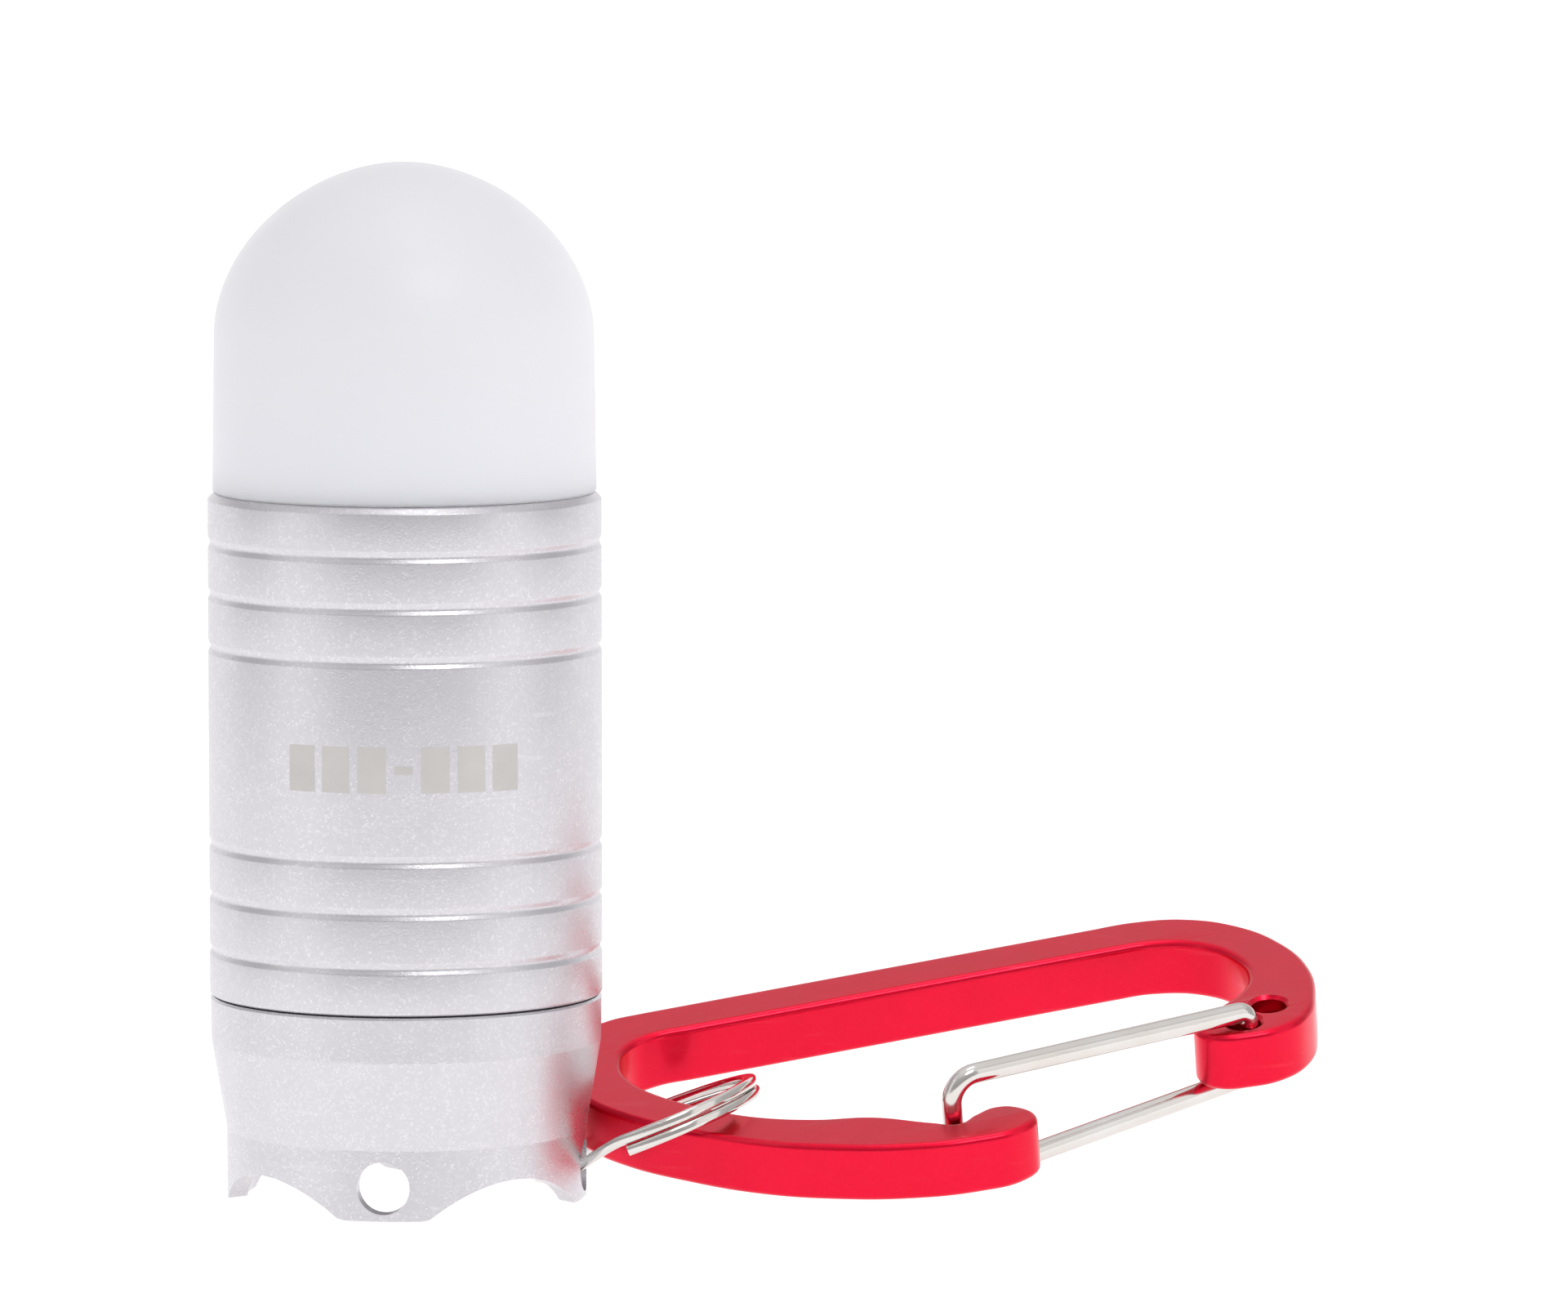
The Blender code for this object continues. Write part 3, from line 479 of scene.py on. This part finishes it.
def moulded_plastic(name, dark, light, roughness):
    material, tree, shader = new_material(name, IOR=1.5)
    place = object_place(tree)
    grain = noise_node(tree, place, 2200.0, 3.0, 0.6)
    cloud = noise_node(tree, place, 240.0, 3.0, 0.5)
    marks = place_group(tree, HANDLING, Scratch_Share=0.7)
    base = mixed_colour(tree, cloud, dark, light)
    tree.links.new(base, shader.inputs["Base Color"])
    rough = ranged(tree, marks.outputs["Smears"], 0.0, 1.0, roughness, roughness + 0.14)
    tree.links.new(rough, shader.inputs["Roughness"])
    add_bump(tree, shader, grain, 0.35, 0.00003)
    return material


def circuit_board():
    """Solder mask with a faint pattern of tracks under it."""
    material, tree, shader = new_material("green_board", IOR=1.5, Coat_Weight=0.4, Coat_Roughness=0.12)
    place = object_place(tree)
    tracks = add_node(tree, "ShaderNodeTexBrick")
    tree.links.new(place, tracks.inputs["Vector"])
    tracks.inputs["Scale"].default_value = 900.0
    tracks.inputs["Mortar Size"].default_value = 0.04
    mask = noise_node(tree, place, 300.0, 2.0, 0.5)
    share = math_node(tree, "MULTIPLY", tracks.outputs["Fac"], ranged(tree, mask, 0.45, 0.55))
    base = mixed_colour(tree, share, (0.015, 0.12, 0.045), (0.05, 0.25, 0.09))
    tree.links.new(base, shader.inputs["Base Color"])
    tree.links.new(ranged(tree, mask, 0.2, 0.8, 0.28, 0.42), shader.inputs["Roughness"])
    add_bump(tree, shader, share, 0.4, 0.00003)
    return material


def led_lens():
    material, tree, shader = new_material("led_lens", IOR=1.5, Coat_Weight=0.8, Coat_Roughness=0.05)
    place = object_place(tree)
    grains = noise_node(tree, place, 3500.0, 3.0, 0.6)
    base = mixed_colour(tree, grains, (0.85, 0.66, 0.16), (0.97, 0.86, 0.40))
    tree.links.new(base, shader.inputs["Base Color"])
    tree.links.new(ranged(tree, grains, 0.2, 0.8, 0.18, 0.32), shader.inputs["Roughness"])
    add_bump(tree, shader, grains, 0.15, 0.00002)
    return material


def laser_etch():
    """The lighter, duller skin that a marking laser leaves."""
    material, tree, shader = new_material("laser_etch", Metallic=0.55)
    skin = place_group(tree, BLASTED, Grain_Scale=6500.0)
    base = mixed_colour(tree, skin.outputs["Mottle"], (0.52, 0.505, 0.49), (0.62, 0.60, 0.585))
    tree.links.new(base, shader.inputs["Base Color"])
    tree.links.new(ranged(tree, skin.outputs["Height"], 0.2, 0.9, 0.50, 0.68), shader.inputs["Roughness"])
    add_bump(tree, shader, skin.outputs["Height"], 0.5, 0.00002)
    return material


def pale_floor():
    material, tree, shader = new_material("pale_floor", Roughness=0.9, Emission_Strength=FLOOR_GLOW)
    cloud = noise_node(tree, object_place(tree), 6.0, 2.0, 0.5)
    tone = mixed_colour(tree, cloud, (0.93, 0.93, 0.935), (0.95, 0.95, 0.95))
    tree.links.new(tone, shader.inputs["Base Color"])
    tree.links.new(tone, shader.inputs["Emission Color"])
    return material


# ---------------------------------------------------------------- mesh helpers

def new_piece(name, mesh, material, body, slot, *nodes):
    piece = bpy.data.objects.new(name, mesh)
    scene.collection.objects.link(piece)
    mesh.materials.clear()
    mesh.materials.append(material)
    if nodes:
        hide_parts(*nodes)
    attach(piece, body)
    return piece


def smooth(mesh, degrees=32.0):
    """Shade smooth, with a crisp edge wherever two faces meet at more than this angle."""
    mesh.shade_smooth()
    mesh.set_sharp_from_angle(angle=radians(degrees))


def lathe(name, profile, closed=True, steps=FINE_STEPS, centre=AXIS):
    """Turn (radius, height) points about the torch axis; points on the axis become poles."""
    shape = bmesh.new()
    rings = []
    for radius, height in profile:
        if radius < POLE_RADIUS:
            rings.append([shape.verts.new((centre.x, centre.y, height))])
            continue
        ring = []
        for k in range(steps):
            angle = tau * k / steps
            x = centre.x + radius * cos(angle)
            y = centre.y + radius * sin(angle)
            ring.append(shape.verts.new((x, y, height)))
        rings.append(ring)
    pairs = list(zip(rings, rings[1:]))
    if closed:
        pairs.append((rings[-1], rings[0]))
    for upper, lower in pairs:
        for k in range(steps):
            after = (k + 1) % steps
            corners = [upper[k % len(upper)], lower[k % len(lower)]]
            corners += [lower[after % len(lower)], upper[after % len(upper)]]
            distinct = list(dict.fromkeys(corners))
            if len(distinct) > 2:
                shape.faces.new(distinct)
    bmesh.ops.recalc_face_normals(shape, faces=shape.faces)
    mesh = bpy.data.meshes.new(name)
    shape.to_mesh(mesh)
    shape.free()
    smooth(mesh)
    return mesh


def rounded(points, radius, steps=3):
    """A closed outline with each corner replaced by a small arc of at most this radius."""
    result = []
    count = len(points)
    for i in range(count):
        here = Vector(points[i])
        back = Vector(points[i - 1]) - here
        ahead = Vector(points[(i + 1) % count]) - here
        reach = min(radius, back.length * 0.4, ahead.length * 0.4)
        start = here + back.normalized() * reach
        end = here + ahead.normalized() * reach
        for k in range(steps + 1):
            t = k / steps
            point = start * (1 - t) ** 2 + here * 2 * t * (1 - t) + end * t ** 2
            result.append((point.x, point.y))
    return result


def circle(radius, sides):
    return [(radius * cos(tau * k / sides), radius * sin(tau * k / sides)) for k in range(sides)]


def prism(name, outline, depth, matrix):
    """Extrude a closed 2D outline both ways from the matrix's XY plane."""
    shape = bmesh.new()
    low = [shape.verts.new(matrix @ Vector((x, y, -depth / 2))) for x, y in outline]
    high = [shape.verts.new(matrix @ Vector((x, y, depth / 2))) for x, y in outline]
    shape.faces.new(list(reversed(low)))
    shape.faces.new(high)
    for k in range(len(outline)):
        after = (k + 1) % len(outline)
        shape.faces.new([low[k], low[after], high[after], high[k]])
    bmesh.ops.recalc_face_normals(shape, faces=shape.faces)
    mesh = bpy.data.meshes.new(name)
    shape.to_mesh(mesh)
    shape.free()
    return mesh


def cut_mesh(mesh, cutters):
    """The mesh with each cutter mesh taken out of it."""
    target = bpy.data.objects.new("work", mesh)
    scene.collection.objects.link(target)
    tools = []
    for cutter in cutters:
        tool = bpy.data.objects.new("tool", cutter)
        scene.collection.objects.link(tool)
        tools.append(tool)
        step = target.modifiers.new("cut", "BOOLEAN")
        step.operation = "DIFFERENCE"
        step.solver = "EXACT"
        step.object = tool
    bpy.context.view_layer.update()
    done = bpy.data.meshes.new_from_object(target.evaluated_get(bpy.context.evaluated_depsgraph_get()))
    for old in [target, *tools]:
        bpy.data.objects.remove(old)
    return done


def sweep(name, points, section, frames):
    """Skin a closed 2D section along a path; each frame gives the section's two directions."""
    shape = bmesh.new()
    rows = []
    for point, (across, up) in zip(points, frames):
        rows.append([shape.verts.new(point + across * x + up * y) for x, y in section])
    for first, second in zip(rows, rows[1:]):
        for k in range(len(section)):
            after = (k + 1) % len(section)
            shape.faces.new([first[k], first[after], second[after], second[k]])
    shape.faces.new(list(reversed(rows[0])))
    shape.faces.new(rows[-1])
    bmesh.ops.recalc_face_normals(shape, faces=shape.faces)
    mesh = bpy.data.meshes.new(name)
    shape.to_mesh(mesh)
    shape.free()
    smooth(mesh, 40.0)
    return mesh


# ---------------------------------------------------------------- torch

def grooved_side():
    """The sleeve's outer wall, from its top chamfer down to its lower edge."""
    points = [(BODY_RADIUS - RIM_CHAMFER, SLEEVE_TOP), (BODY_RADIUS, SLEEVE_TOP - RIM_CHAMFER)]
    for height in GROOVE_HEIGHTS:
        points.append((BODY_RADIUS, height + GROOVE_WIDTH / 2))
        points.append((BODY_RADIUS - GROOVE_DEPTH, height + GROOVE_FLAT))
        points.append((BODY_RADIUS - GROOVE_DEPTH, height - GROOVE_FLAT))
        points.append((BODY_RADIUS, height - GROOVE_WIDTH / 2))
    points.append((BODY_RADIUS, SEAM_HIGH + EDGE_BREAK))
    points.append((BODY_RADIUS - EDGE_BREAK, SEAM_HIGH))
    return points


def thread(radius, top, bottom):
    """Zigzag of a turned thread between two heights, on the way down."""
    points = []
    turns = int((top - bottom) / THREAD_PITCH)
    for k in range(turns):
        crest = top - k * THREAD_PITCH
        points.append((radius, crest))
        points.append((radius, crest - 0.30 * MM))
        points.append((radius - THREAD_DEPTH, crest - 0.50 * MM))
        points.append((radius - THREAD_DEPTH, crest - 0.80 * MM))
    points.append((radius, top - turns * THREAD_PITCH))
    return points


def make_sleeve(material):
    inside = [(BORE_RADIUS, SEAM_HIGH)]
    inside += reversed(thread(BORE_RADIUS + THREAD_DEPTH, BORE_THREAD_TOP, BORE_THREAD_LOW))
    inside += [(BORE_RADIUS, BORE_RELIEF), (BORE_RADIUS, SHELF_LOW), (SHELF_RADIUS, SHELF_LOW)]
    inside += [(SHELF_RADIUS, SHELF_HIGH), (BORE_RADIUS, SHELF_HIGH), (BORE_RADIUS, SLEEVE_TOP)]
    profile = rounded(grooved_side() + inside, 0.05 * MM, 2)
    mesh = lathe("grooved_sleeve", profile)
    new_piece("grooved_sleeve", mesh, material, "torch", "blasted_aluminium", "body_sleeve")


def dome_arc(radius, rise, foot, count=48):
    points = []
    for i in range(count + 1):
        angle = pi / 2 * (1 - i / count)
        across = 0.0 if i == 0 else cos(angle) ** (2 / DOME_SHAPE)
        up = 0.0 if i == count else sin(angle) ** (2 / DOME_SHAPE)
        points.append((radius * across, foot + rise * up))
    return points


def make_dome(material):
    rise = DOME_HIGH.z - DOME_SPRING
    outer = dome_arc(DOME_SPRING_RADIUS, rise, DOME_SPRING)
    outer.append((DOME_BASE_RADIUS, DOME_BASE + DOME_FOOT_CHAMFER))
    outer.append((DOME_BASE_RADIUS - 0.8 * DOME_FOOT_CHAMFER, DOME_BASE))
    outer.append((NECK_RADIUS, DOME_BASE))
    groove = [(NECK_RADIUS, DOME_SEAL_HIGH), (SEAL_RADIUS, DOME_SEAL_HIGH)]
    groove += [(SEAL_RADIUS, DOME_SEAL_LOW), (NECK_RADIUS, DOME_SEAL_LOW)]
    neck = [(NECK_RADIUS, DOME_LOW.z), (NECK_BORE, DOME_LOW.z), (NECK_BORE, DOME_INNER_FOOT)]
    inner = dome_arc(DOME_SPRING_RADIUS - DOME_WALL, rise - DOME_WALL, DOME_SPRING, CURVE_STEPS)
    inner.reverse()
    mesh = lathe("opal_dome", outer + groove + neck + inner, closed=False)
    new_piece("opal_dome", mesh, material, "torch", "opal_plastic", "diffuser_dome")


def scallop_outline():
    """Cross-section of the cutter between two lugs: one wide arc, flared into the lug tips."""
    centre = Vector((0.0, SCALLOP_DEPTH - SCALLOP_RADIUS))
    reach = sqrt((SCALLOP_RADIUS + LUG_CORNER) ** 2 - (LUG_CORNER - centre.y) ** 2)
    corner = Vector((reach, LUG_CORNER))
    end = Vector((0.0, 1.0)).angle(corner - centre)
    half = [(reach + 3.0 * MM, -4.0 * MM), (reach + 3.0 * MM, -0.02 * MM), (reach, -0.0001 * MM)]
    for k in range(1, 9):
        turn = -pi / 2 - end * k / 8
        half.append((corner.x + LUG_CORNER * cos(turn), corner.y + LUG_CORNER * sin(turn)))
    for k in range(1, CURVE_STEPS + 1):
        turn = pi / 2 - end * (1 - k / CURVE_STEPS)
        half.append((SCALLOP_RADIUS * cos(turn), centre.y + SCALLOP_RADIUS * sin(turn)))
    mirrored = [(-x, y) for x, y in reversed(half[:-1])]
    return half + mirrored


def tail_cap_profile():
    """Half-section of the cap: neck and thread, waisted outside, recess, then its bore."""
    points = [(CAP_NECK_RADIUS - 0.3 * MM, CAP_HIGH.z)]
    points += thread(CAP_NECK_RADIUS, CAP_THREAD_TOP, CAP_THREAD_LOW)
    points += [(CAP_NECK_RADIUS, CAP_SEAL_HIGH), (SEAL_RADIUS, CAP_SEAL_HIGH)]
    points += [(SEAL_RADIUS, CAP_SEAL_LOW), (CAP_NECK_RADIUS, CAP_SEAL_LOW), (CAP_NECK_RADIUS, SEAM_LOW)]
    points += [(CAP_RADIUS - EDGE_BREAK, SEAM_LOW), (CAP_RADIUS, SEAM_LOW - EDGE_BREAK)]
    points += [(CAP_WAIST_HIGH_RADIUS, CAP_WAIST_HIGH), (CAP_WAIST_LOW_RADIUS, CAP_WAIST_LOW)]
    points += [(SKIRT_RADIUS, SKIRT_TOP), (SKIRT_RADIUS, SKIRT_BREAK), (SKIRT_RADIUS - SKIRT_BREAK, 0.0)]
    points += [(SKIRT_BORE + SKIRT_BREAK, 0.0), (SKIRT_BORE, SKIRT_BREAK), (SKIRT_BORE, RECESS_ROOF)]
    points += [(RECESS_HOLE, RECESS_ROOF), (RECESS_HOLE, CAP_FLOOR), (CAP_BORE, CAP_FLOOR)]
    points.append((CAP_BORE, CAP_HIGH.z))
    return points


def lug_hole_outline():
    points = []
    for k in range(HOLE_STEPS):
        angle = tau * k / HOLE_STEPS
        points.append((LUG_HOLE_RADIUS * cos(angle), LUG_HOLE_HEIGHT + LUG_HOLE_RADIUS * sin(angle)))
    return points


def make_tail_cap(material):
    mesh = lathe("lugged_tail_cap", tail_cap_profile(), steps=CAP_STEPS)
    stand = Matrix.Rotation(pi / 2, 4, "Z") @ Matrix.Rotation(pi / 2, 4, "X")
    cutters = []
    for i in range(2):
        lugs = Matrix.Translation(AXIS) @ Matrix.Rotation(LUG_TURN + i * pi / 2, 4, "Z")
        cutters.append(prism("hole", lug_hole_outline(), CUTTER_LENGTH, lugs @ stand))
        between = Matrix.Translation(AXIS) @ Matrix.Rotation(LUG_TURN + pi / 4 + i * pi / 2, 4, "Z")
        cutters.append(prism("scallop", scallop_outline(), CUTTER_LENGTH, between @ stand))
    cut = cut_mesh(mesh, cutters)
    cut.name = "lugged_tail_cap"
    smooth(cut, WAIST_CREASE)
    new_piece("lugged_tail_cap", cut, material, "cap", "blasted_aluminium", "tail_cap")


def make_etched_mark(material):
    """Plain etched blocks on the front of the sleeve: three, a dash and three more."""
    radius = BODY_RADIUS + MARK_PROUD
    start = MARK_START
    for i in range(2 * MARK_BLOCKS + 1):
        dash = i == MARK_BLOCKS
        width = MARK_DASH_WIDTH if dash else MARK_WIDTH
        half = MARK_DASH_HEIGHT / 2 if dash else MARK_HEIGHT / 2
        shape = bmesh.new()
        last = None
        for k in range(MARK_STEPS + 1):
            angle = (start + width * k / MARK_STEPS) / radius
            x = AXIS.x + radius * sin(angle)
            y = AXIS.y - radius * cos(angle)
            column = [shape.verts.new((x, y, MARK_MIDDLE + side)) for side in (-half, half)]
            if last:
                shape.faces.new([last[0], column[0], column[1], last[1]])
            last = column
        name = "etched_block_%d" % (i + 1)
        mesh = bpy.data.meshes.new(name)
        shape.to_mesh(mesh)
        shape.free()
        mesh.shade_smooth()
        new_piece(name, mesh, material, "torch", "blasted_aluminium")
        start += width + MARK_GAP


# ---------------------------------------------------------------- split ring, carabiner, gate

def ring_height(angle):
    share = min(max((angle - tau + RING_JOG) / RING_JOG, 0.0), 1.0)
    return RING_PITCH * (share * share * (3 - 2 * share) - 0.5)


def make_split_ring(material):
    turn = RING_NORMAL.to_track_quat("Z", "Y").to_matrix()
    side, up = turn.col[0], turn.col[1]
    normal = turn.col[2]
    x = RING_WIRE_WIDTH / 2
    y = RING_WIRE_HEIGHT / 2
    section = rounded([(-x, -y), (x, -y), (x, y), (-x, y)], RING_CORNER, 5)
    sweep_angle = 2 * tau - RING_JOG
    points = []
    frames = []
    for i in range(RING_STEPS + 1):
        angle = sweep_angle * i / RING_STEPS
        outward = side * cos(angle) + up * sin(angle)
        points.append(RING_CENTRE + outward * RING_RADIUS + normal * ring_height(angle))
        frames.append((outward, normal))
    mesh = sweep("coiled_split_ring", points, section, frames)
    new_piece("coiled_split_ring", mesh, material, "ring", "polished_steel", "split_ring")


def plate_matrix():
    yaw = Matrix.Rotation(CLIP_YAW, 4, "Z")
    rise = Matrix.Rotation(-CLIP_RISE, 4, "Y")
    tilt = Matrix.Rotation(CLIP_TILT, 4, "X")
    return Matrix.Translation(CLIP_ORIGIN) @ yaw @ rise @ tilt


def bevelled_plate():
    """The carabiner's bar before its gate holes are drilled."""
    curve = bpy.data.curves.new("plate", "CURVE")
    curve.dimensions = "2D"
    curve.fill_mode = "BOTH"
    curve.extrude = CLIP_THICKNESS / 2 - CLIP_EDGE
    curve.bevel_depth = CLIP_EDGE
    curve.bevel_resolution = 4
    curve.offset = -CLIP_EDGE
    curve.resolution_u = 8
    outline = curve.splines.new("BEZIER")
    outline.bezier_points.add(len(CLIP_OUTLINE) - 1)
    for knot, (x, y, handle) in zip(outline.bezier_points, CLIP_OUTLINE):
        knot.co = (x * MM, y * MM, 0.0)
        knot.handle_left_type = handle
        knot.handle_right_type = handle
    outline.use_cyclic_u = True
    source = bpy.data.objects.new("plate", curve)
    scene.collection.objects.link(source)
    bpy.context.view_layer.update()
    mesh = bpy.data.meshes.new_from_object(source.evaluated_get(bpy.context.evaluated_depsgraph_get()))
    bpy.data.objects.remove(source)
    shape = bmesh.new()
    shape.from_mesh(mesh)
    bmesh.ops.remove_doubles(shape, verts=shape.verts, dist=0.000002)
    bmesh.ops.translate(shape, verts=shape.verts, vec=(0.0, 0.0, -CLIP_THICKNESS / 2))
    bmesh.ops.transform(shape, verts=shape.verts, matrix=plate_matrix())
    bmesh.ops.recalc_face_normals(shape, faces=shape.faces)
    shape.to_mesh(mesh)
    shape.free()
    return mesh


def make_carabiner(material):
    flare = GATE_HOLE_RADIUS + GATE_HOLE_FLARE
    top = 0.05 * MM
    profile = [(0.0, top), (flare, top), (flare, 0.0), (GATE_HOLE_RADIUS, -GATE_HOLE_FLARE)]
    profile += [(radius, -CLIP_THICKNESS - height) for radius, height in reversed(profile)]
    cutters = []
    for hole in GATE_HOLES:
        cutter = lathe("hole", profile, closed=False, steps=40, centre=hole)
        cutter.transform(plate_matrix())
        cutters.append(cutter)
    cut = cut_mesh(bevelled_plate(), cutters)
    cut.name = "carabiner_bar"
    smooth(cut, 35.0)
    piece = new_piece("carabiner_bar", cut, material, "carabiner", "red_anodised", "carabiner_frame")
    flat = piece.modifiers.new("flat_faces", "WEIGHTED_NORMAL")
    flat.keep_sharp = True


def bent_path(corners, bends, steps=10):
    """A wire's path with each inner corner turned through an arc of its bend radius."""
    path = [corners[0]]
    for i in range(1, len(corners) - 1):
        here = corners[i]
        back = (corners[i - 1] - here).normalized()
        ahead = (corners[i + 1] - here).normalized()
        half = back.angle(ahead) / 2
        reach = bends[i - 1] / sin(half) * cos(half)
        centre = here + (back + ahead).normalized() * (bends[i - 1] / sin(half))
        start = here + back * reach - centre
        axis = (-back).cross(ahead)
        for k in range(steps + 1):
            path.append(centre + Matrix.Rotation((pi - 2 * half) * k / steps, 3, axis) @ start)
    path.append(corners[-1])
    return path


def at_height(place, height):
    return place + Vector((0.0, 0.0, height))


def make_gate(material):
    pivot = (GATE_HOLES[0] + GATE_HOLES[1]) / 2
    outward = (GATE_HOLES[0] - pivot).normalized()
    sideways = Vector((outward.y, -outward.x, 0.0))
    first = GATE_HOLES[0] - sideways * GATE_PLAY
    second = GATE_HOLES[1] + sideways * GATE_PLAY
    below = -CLIP_THICKNESS - GATE_UNDERPASS
    corners = [
        at_height(first, -GATE_END_DEPTH),
        at_height(first, GATE_HEIGHT_AT_HOLE),
        at_height(GATE_NOTCH, GATE_HEIGHT_AT_NOTCH),
        at_height(GATE_NOTCH, below),
        at_height(second, below),
        at_height(second, -1.2 * MM),
    ]
    matrix = plate_matrix()
    path = [matrix @ point for point in bent_path(corners, GATE_BENDS)]
    frames = []
    across = Vector((0.0, 1.0, 0.0))
    for i, point in enumerate(path):
        ahead = (path[min(i + 1, len(path) - 1)] - path[max(i - 1, 0)]).normalized()
        across = (across - ahead * across.dot(ahead)).normalized()
        frames.append((across, ahead.cross(across)))
    mesh = sweep("sprung_gate", path, circle(WIRE_RADIUS, WIRE_SIDES), frames)
    new_piece("sprung_gate", mesh, material, "gate", "polished_steel", "gate_wire")


# ---------------------------------------------------------------- inner pieces

def make_plunger_coil(material):
    """The return spring above the button, drawn as a fixed coil."""
    low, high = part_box("plunger_spring")
    count = COIL_STEPS_PER_TURN * COIL_TURNS
    rise = high.z - low.z - 2 * COIL_WIRE
    up = Vector((0.0, 0.0, 1.0))
    points = []
    frames = []
    for i in range(count + 1):
        angle = tau * COIL_TURNS * i / count
        outward = Vector((cos(angle), sin(angle), 0.0))
        points.append(AXIS + outward * COIL_RADIUS + up * (low.z + COIL_WIRE + rise * i / count))
        frames.append((outward, up))
    mesh = sweep("plunger_coil", points, circle(COIL_WIRE, COIL_SIDES), frames)
    piece = new_piece("plunger_coil", mesh, material, "cap", "spring_steel", "plunger_spring")
    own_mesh(piece)


def dress_inner_nodes():
    plain = turned_metal("plain_aluminium", (0.58, 0.58, 0.60), (0.72, 0.72, 0.73), 0.25)
    cell = turned_metal("cell_steel", (0.66, 0.65, 0.62), (0.80, 0.79, 0.76), 0.16)
    brass = turned_metal("contact_brass", (0.72, 0.50, 0.18), (0.85, 0.63, 0.27), 0.22)
    spring = polished_steel("spring_steel", (0.60, 0.57, 0.52))
    make_plunger_coil(spring)
    rubber = moulded_plastic("black_rubber", (0.012, 0.012, 0.013), (0.03, 0.03, 0.032), 0.55)
    black = moulded_plastic("black_plastic", (0.015, 0.015, 0.016), (0.035, 0.035, 0.038), 0.38)
    white = moulded_plastic("white_plastic", (0.78, 0.78, 0.76), (0.86, 0.86, 0.85), 0.35)
    finishes = {
        "plain_aluminium": plain,
        "cell_steel": cell,
        "contact_brass": brass,
        "spring_steel": spring,
        "black_rubber": rubber,
        "black_plastic": black,
        "white_plastic": white,
        "green_board": circuit_board(),
        "led_lens": led_lens(),
    }
    slots = {entry["node"]: entry["material_slot"] for entry in frame["record"]["subparts"]}
    for name, node in frame["nodes"].items():
        finish = finishes.get(slots[name])
        if finish is None:
            continue
        node.data.materials.clear()
        node.data.materials.append(finish)


# ---------------------------------------------------------------- stage, light, camera

def make_stage():
    """A pale floor below the lowest place that a joint can reach, swept up into a backdrop."""
    shape = bmesh.new()
    profile = [(FLOOR_FRONT, -FLOOR_DROP), (FLOOR_BACK, -FLOOR_DROP)]
    for k in range(1, 13):
        angle = pi / 2 * k / 12
        y = FLOOR_BACK + FLOOR_BEND * sin(angle)
        z = FLOOR_BEND - FLOOR_BEND * cos(angle) - FLOOR_DROP
        profile.append((y, z))
    profile.append((FLOOR_BACK + FLOOR_BEND, BACKDROP_TOP))
    left = [shape.verts.new((-FLOOR_HALF_WIDTH, y, z)) for y, z in profile]
    right = [shape.verts.new((FLOOR_HALF_WIDTH, y, z)) for y, z in profile]
    for k in range(len(profile) - 1):
        shape.faces.new([left[k], right[k], right[k + 1], left[k + 1]])
    mesh = bpy.data.meshes.new("sweep")
    shape.to_mesh(mesh)
    shape.free()
    mesh.shade_smooth()
    mesh.materials.append(pale_floor())
    floor = bpy.data.objects.new("sweep", mesh)
    scene.collection.objects.link(floor)


def soft_box(name, place, target, width, height, power):
    light = bpy.data.lights.new(name, "AREA")
    light.shape = "RECTANGLE"
    light.size = width
    light.size_y = height
    light.energy = power
    lamp = bpy.data.objects.new(name, light)
    lamp.location = place
    lamp.rotation_euler = (target - place).to_track_quat("-Z", "Y").to_euler()
    scene.collection.objects.link(lamp)


def make_surround():
    """Even white surround, dimmer low down on the side that the camera stands on."""
    world = bpy.data.worlds.new("studio")
    scene.world = world
    world.use_nodes = True
    tree = world.node_tree
    way = tree.nodes.new("ShaderNodeTexCoord").outputs["Generated"]
    split = add_node(tree, "ShaderNodeSeparateXYZ")
    tree.links.new(way, split.inputs[0])
    front = ranged(tree, split.outputs["Y"], -0.95, -0.35, 1.0, 0.0)
    low = ranged(tree, split.outputs["Z"], 0.15, 0.75, 1.0, 0.0)
    dimming = math_node(tree, "MULTIPLY", front, low)
    sides = ranged(tree, dimming, 0.0, 1.0, SURROUND, SURROUND_FRONT)
    overhead = ranged(tree, split.outputs["Z"], 0.55, 0.88, 0.0, SURROUND_OVERHEAD)
    strength = math_node(tree, "ADD", sides, overhead)
    tree.links.new(strength, tree.nodes["Background"].inputs["Strength"])
    tree.nodes["Background"].inputs["Color"].default_value = (1.0, 0.992, 1.0, 1.0)


def make_lights():
    target = Vector((0.0, 0.0, 0.03))
    soft_box("key_right", Vector((0.22, -0.50, 0.62)), target, 0.26, 0.20, 1.1)
    soft_box("fill_left", Vector((-0.70, -0.35, 0.25)), target, 0.50, 0.80, 0.55)
    soft_box("fill_right", Vector((0.70, -0.35, 0.25)), target, 0.40, 0.80, 0.55)
    soft_box("top", Vector((0.05, -0.05, 0.95)), target, 0.30, 0.22, 0.6)


def make_camera():
    camera = bpy.data.cameras.new("camera")
    camera.sensor_width = 36.0
    camera.lens = LENS
    camera.clip_start = 0.01
    camera.clip_end = 20.0
    holder = bpy.data.objects.new("camera", camera)
    holder.location = AXIS + CAMERA_PLACE
    holder.rotation_euler = (radians(90.0) - CAMERA_DROP, 0.0, 0.0)
    scene.collection.objects.link(holder)
    scene.camera = holder


scene.view_settings.view_transform = "Standard"
make_stage()
make_surround()
make_lights()
make_camera()
dress_inner_nodes()
aluminium = blasted_aluminium()
make_sleeve(aluminium)
make_dome(opal_plastic())
make_tail_cap(aluminium)
make_etched_mark(laser_etch())
steel = polished_steel()
make_split_ring(steel)
make_carabiner(red_anodised())
make_gate(steel)
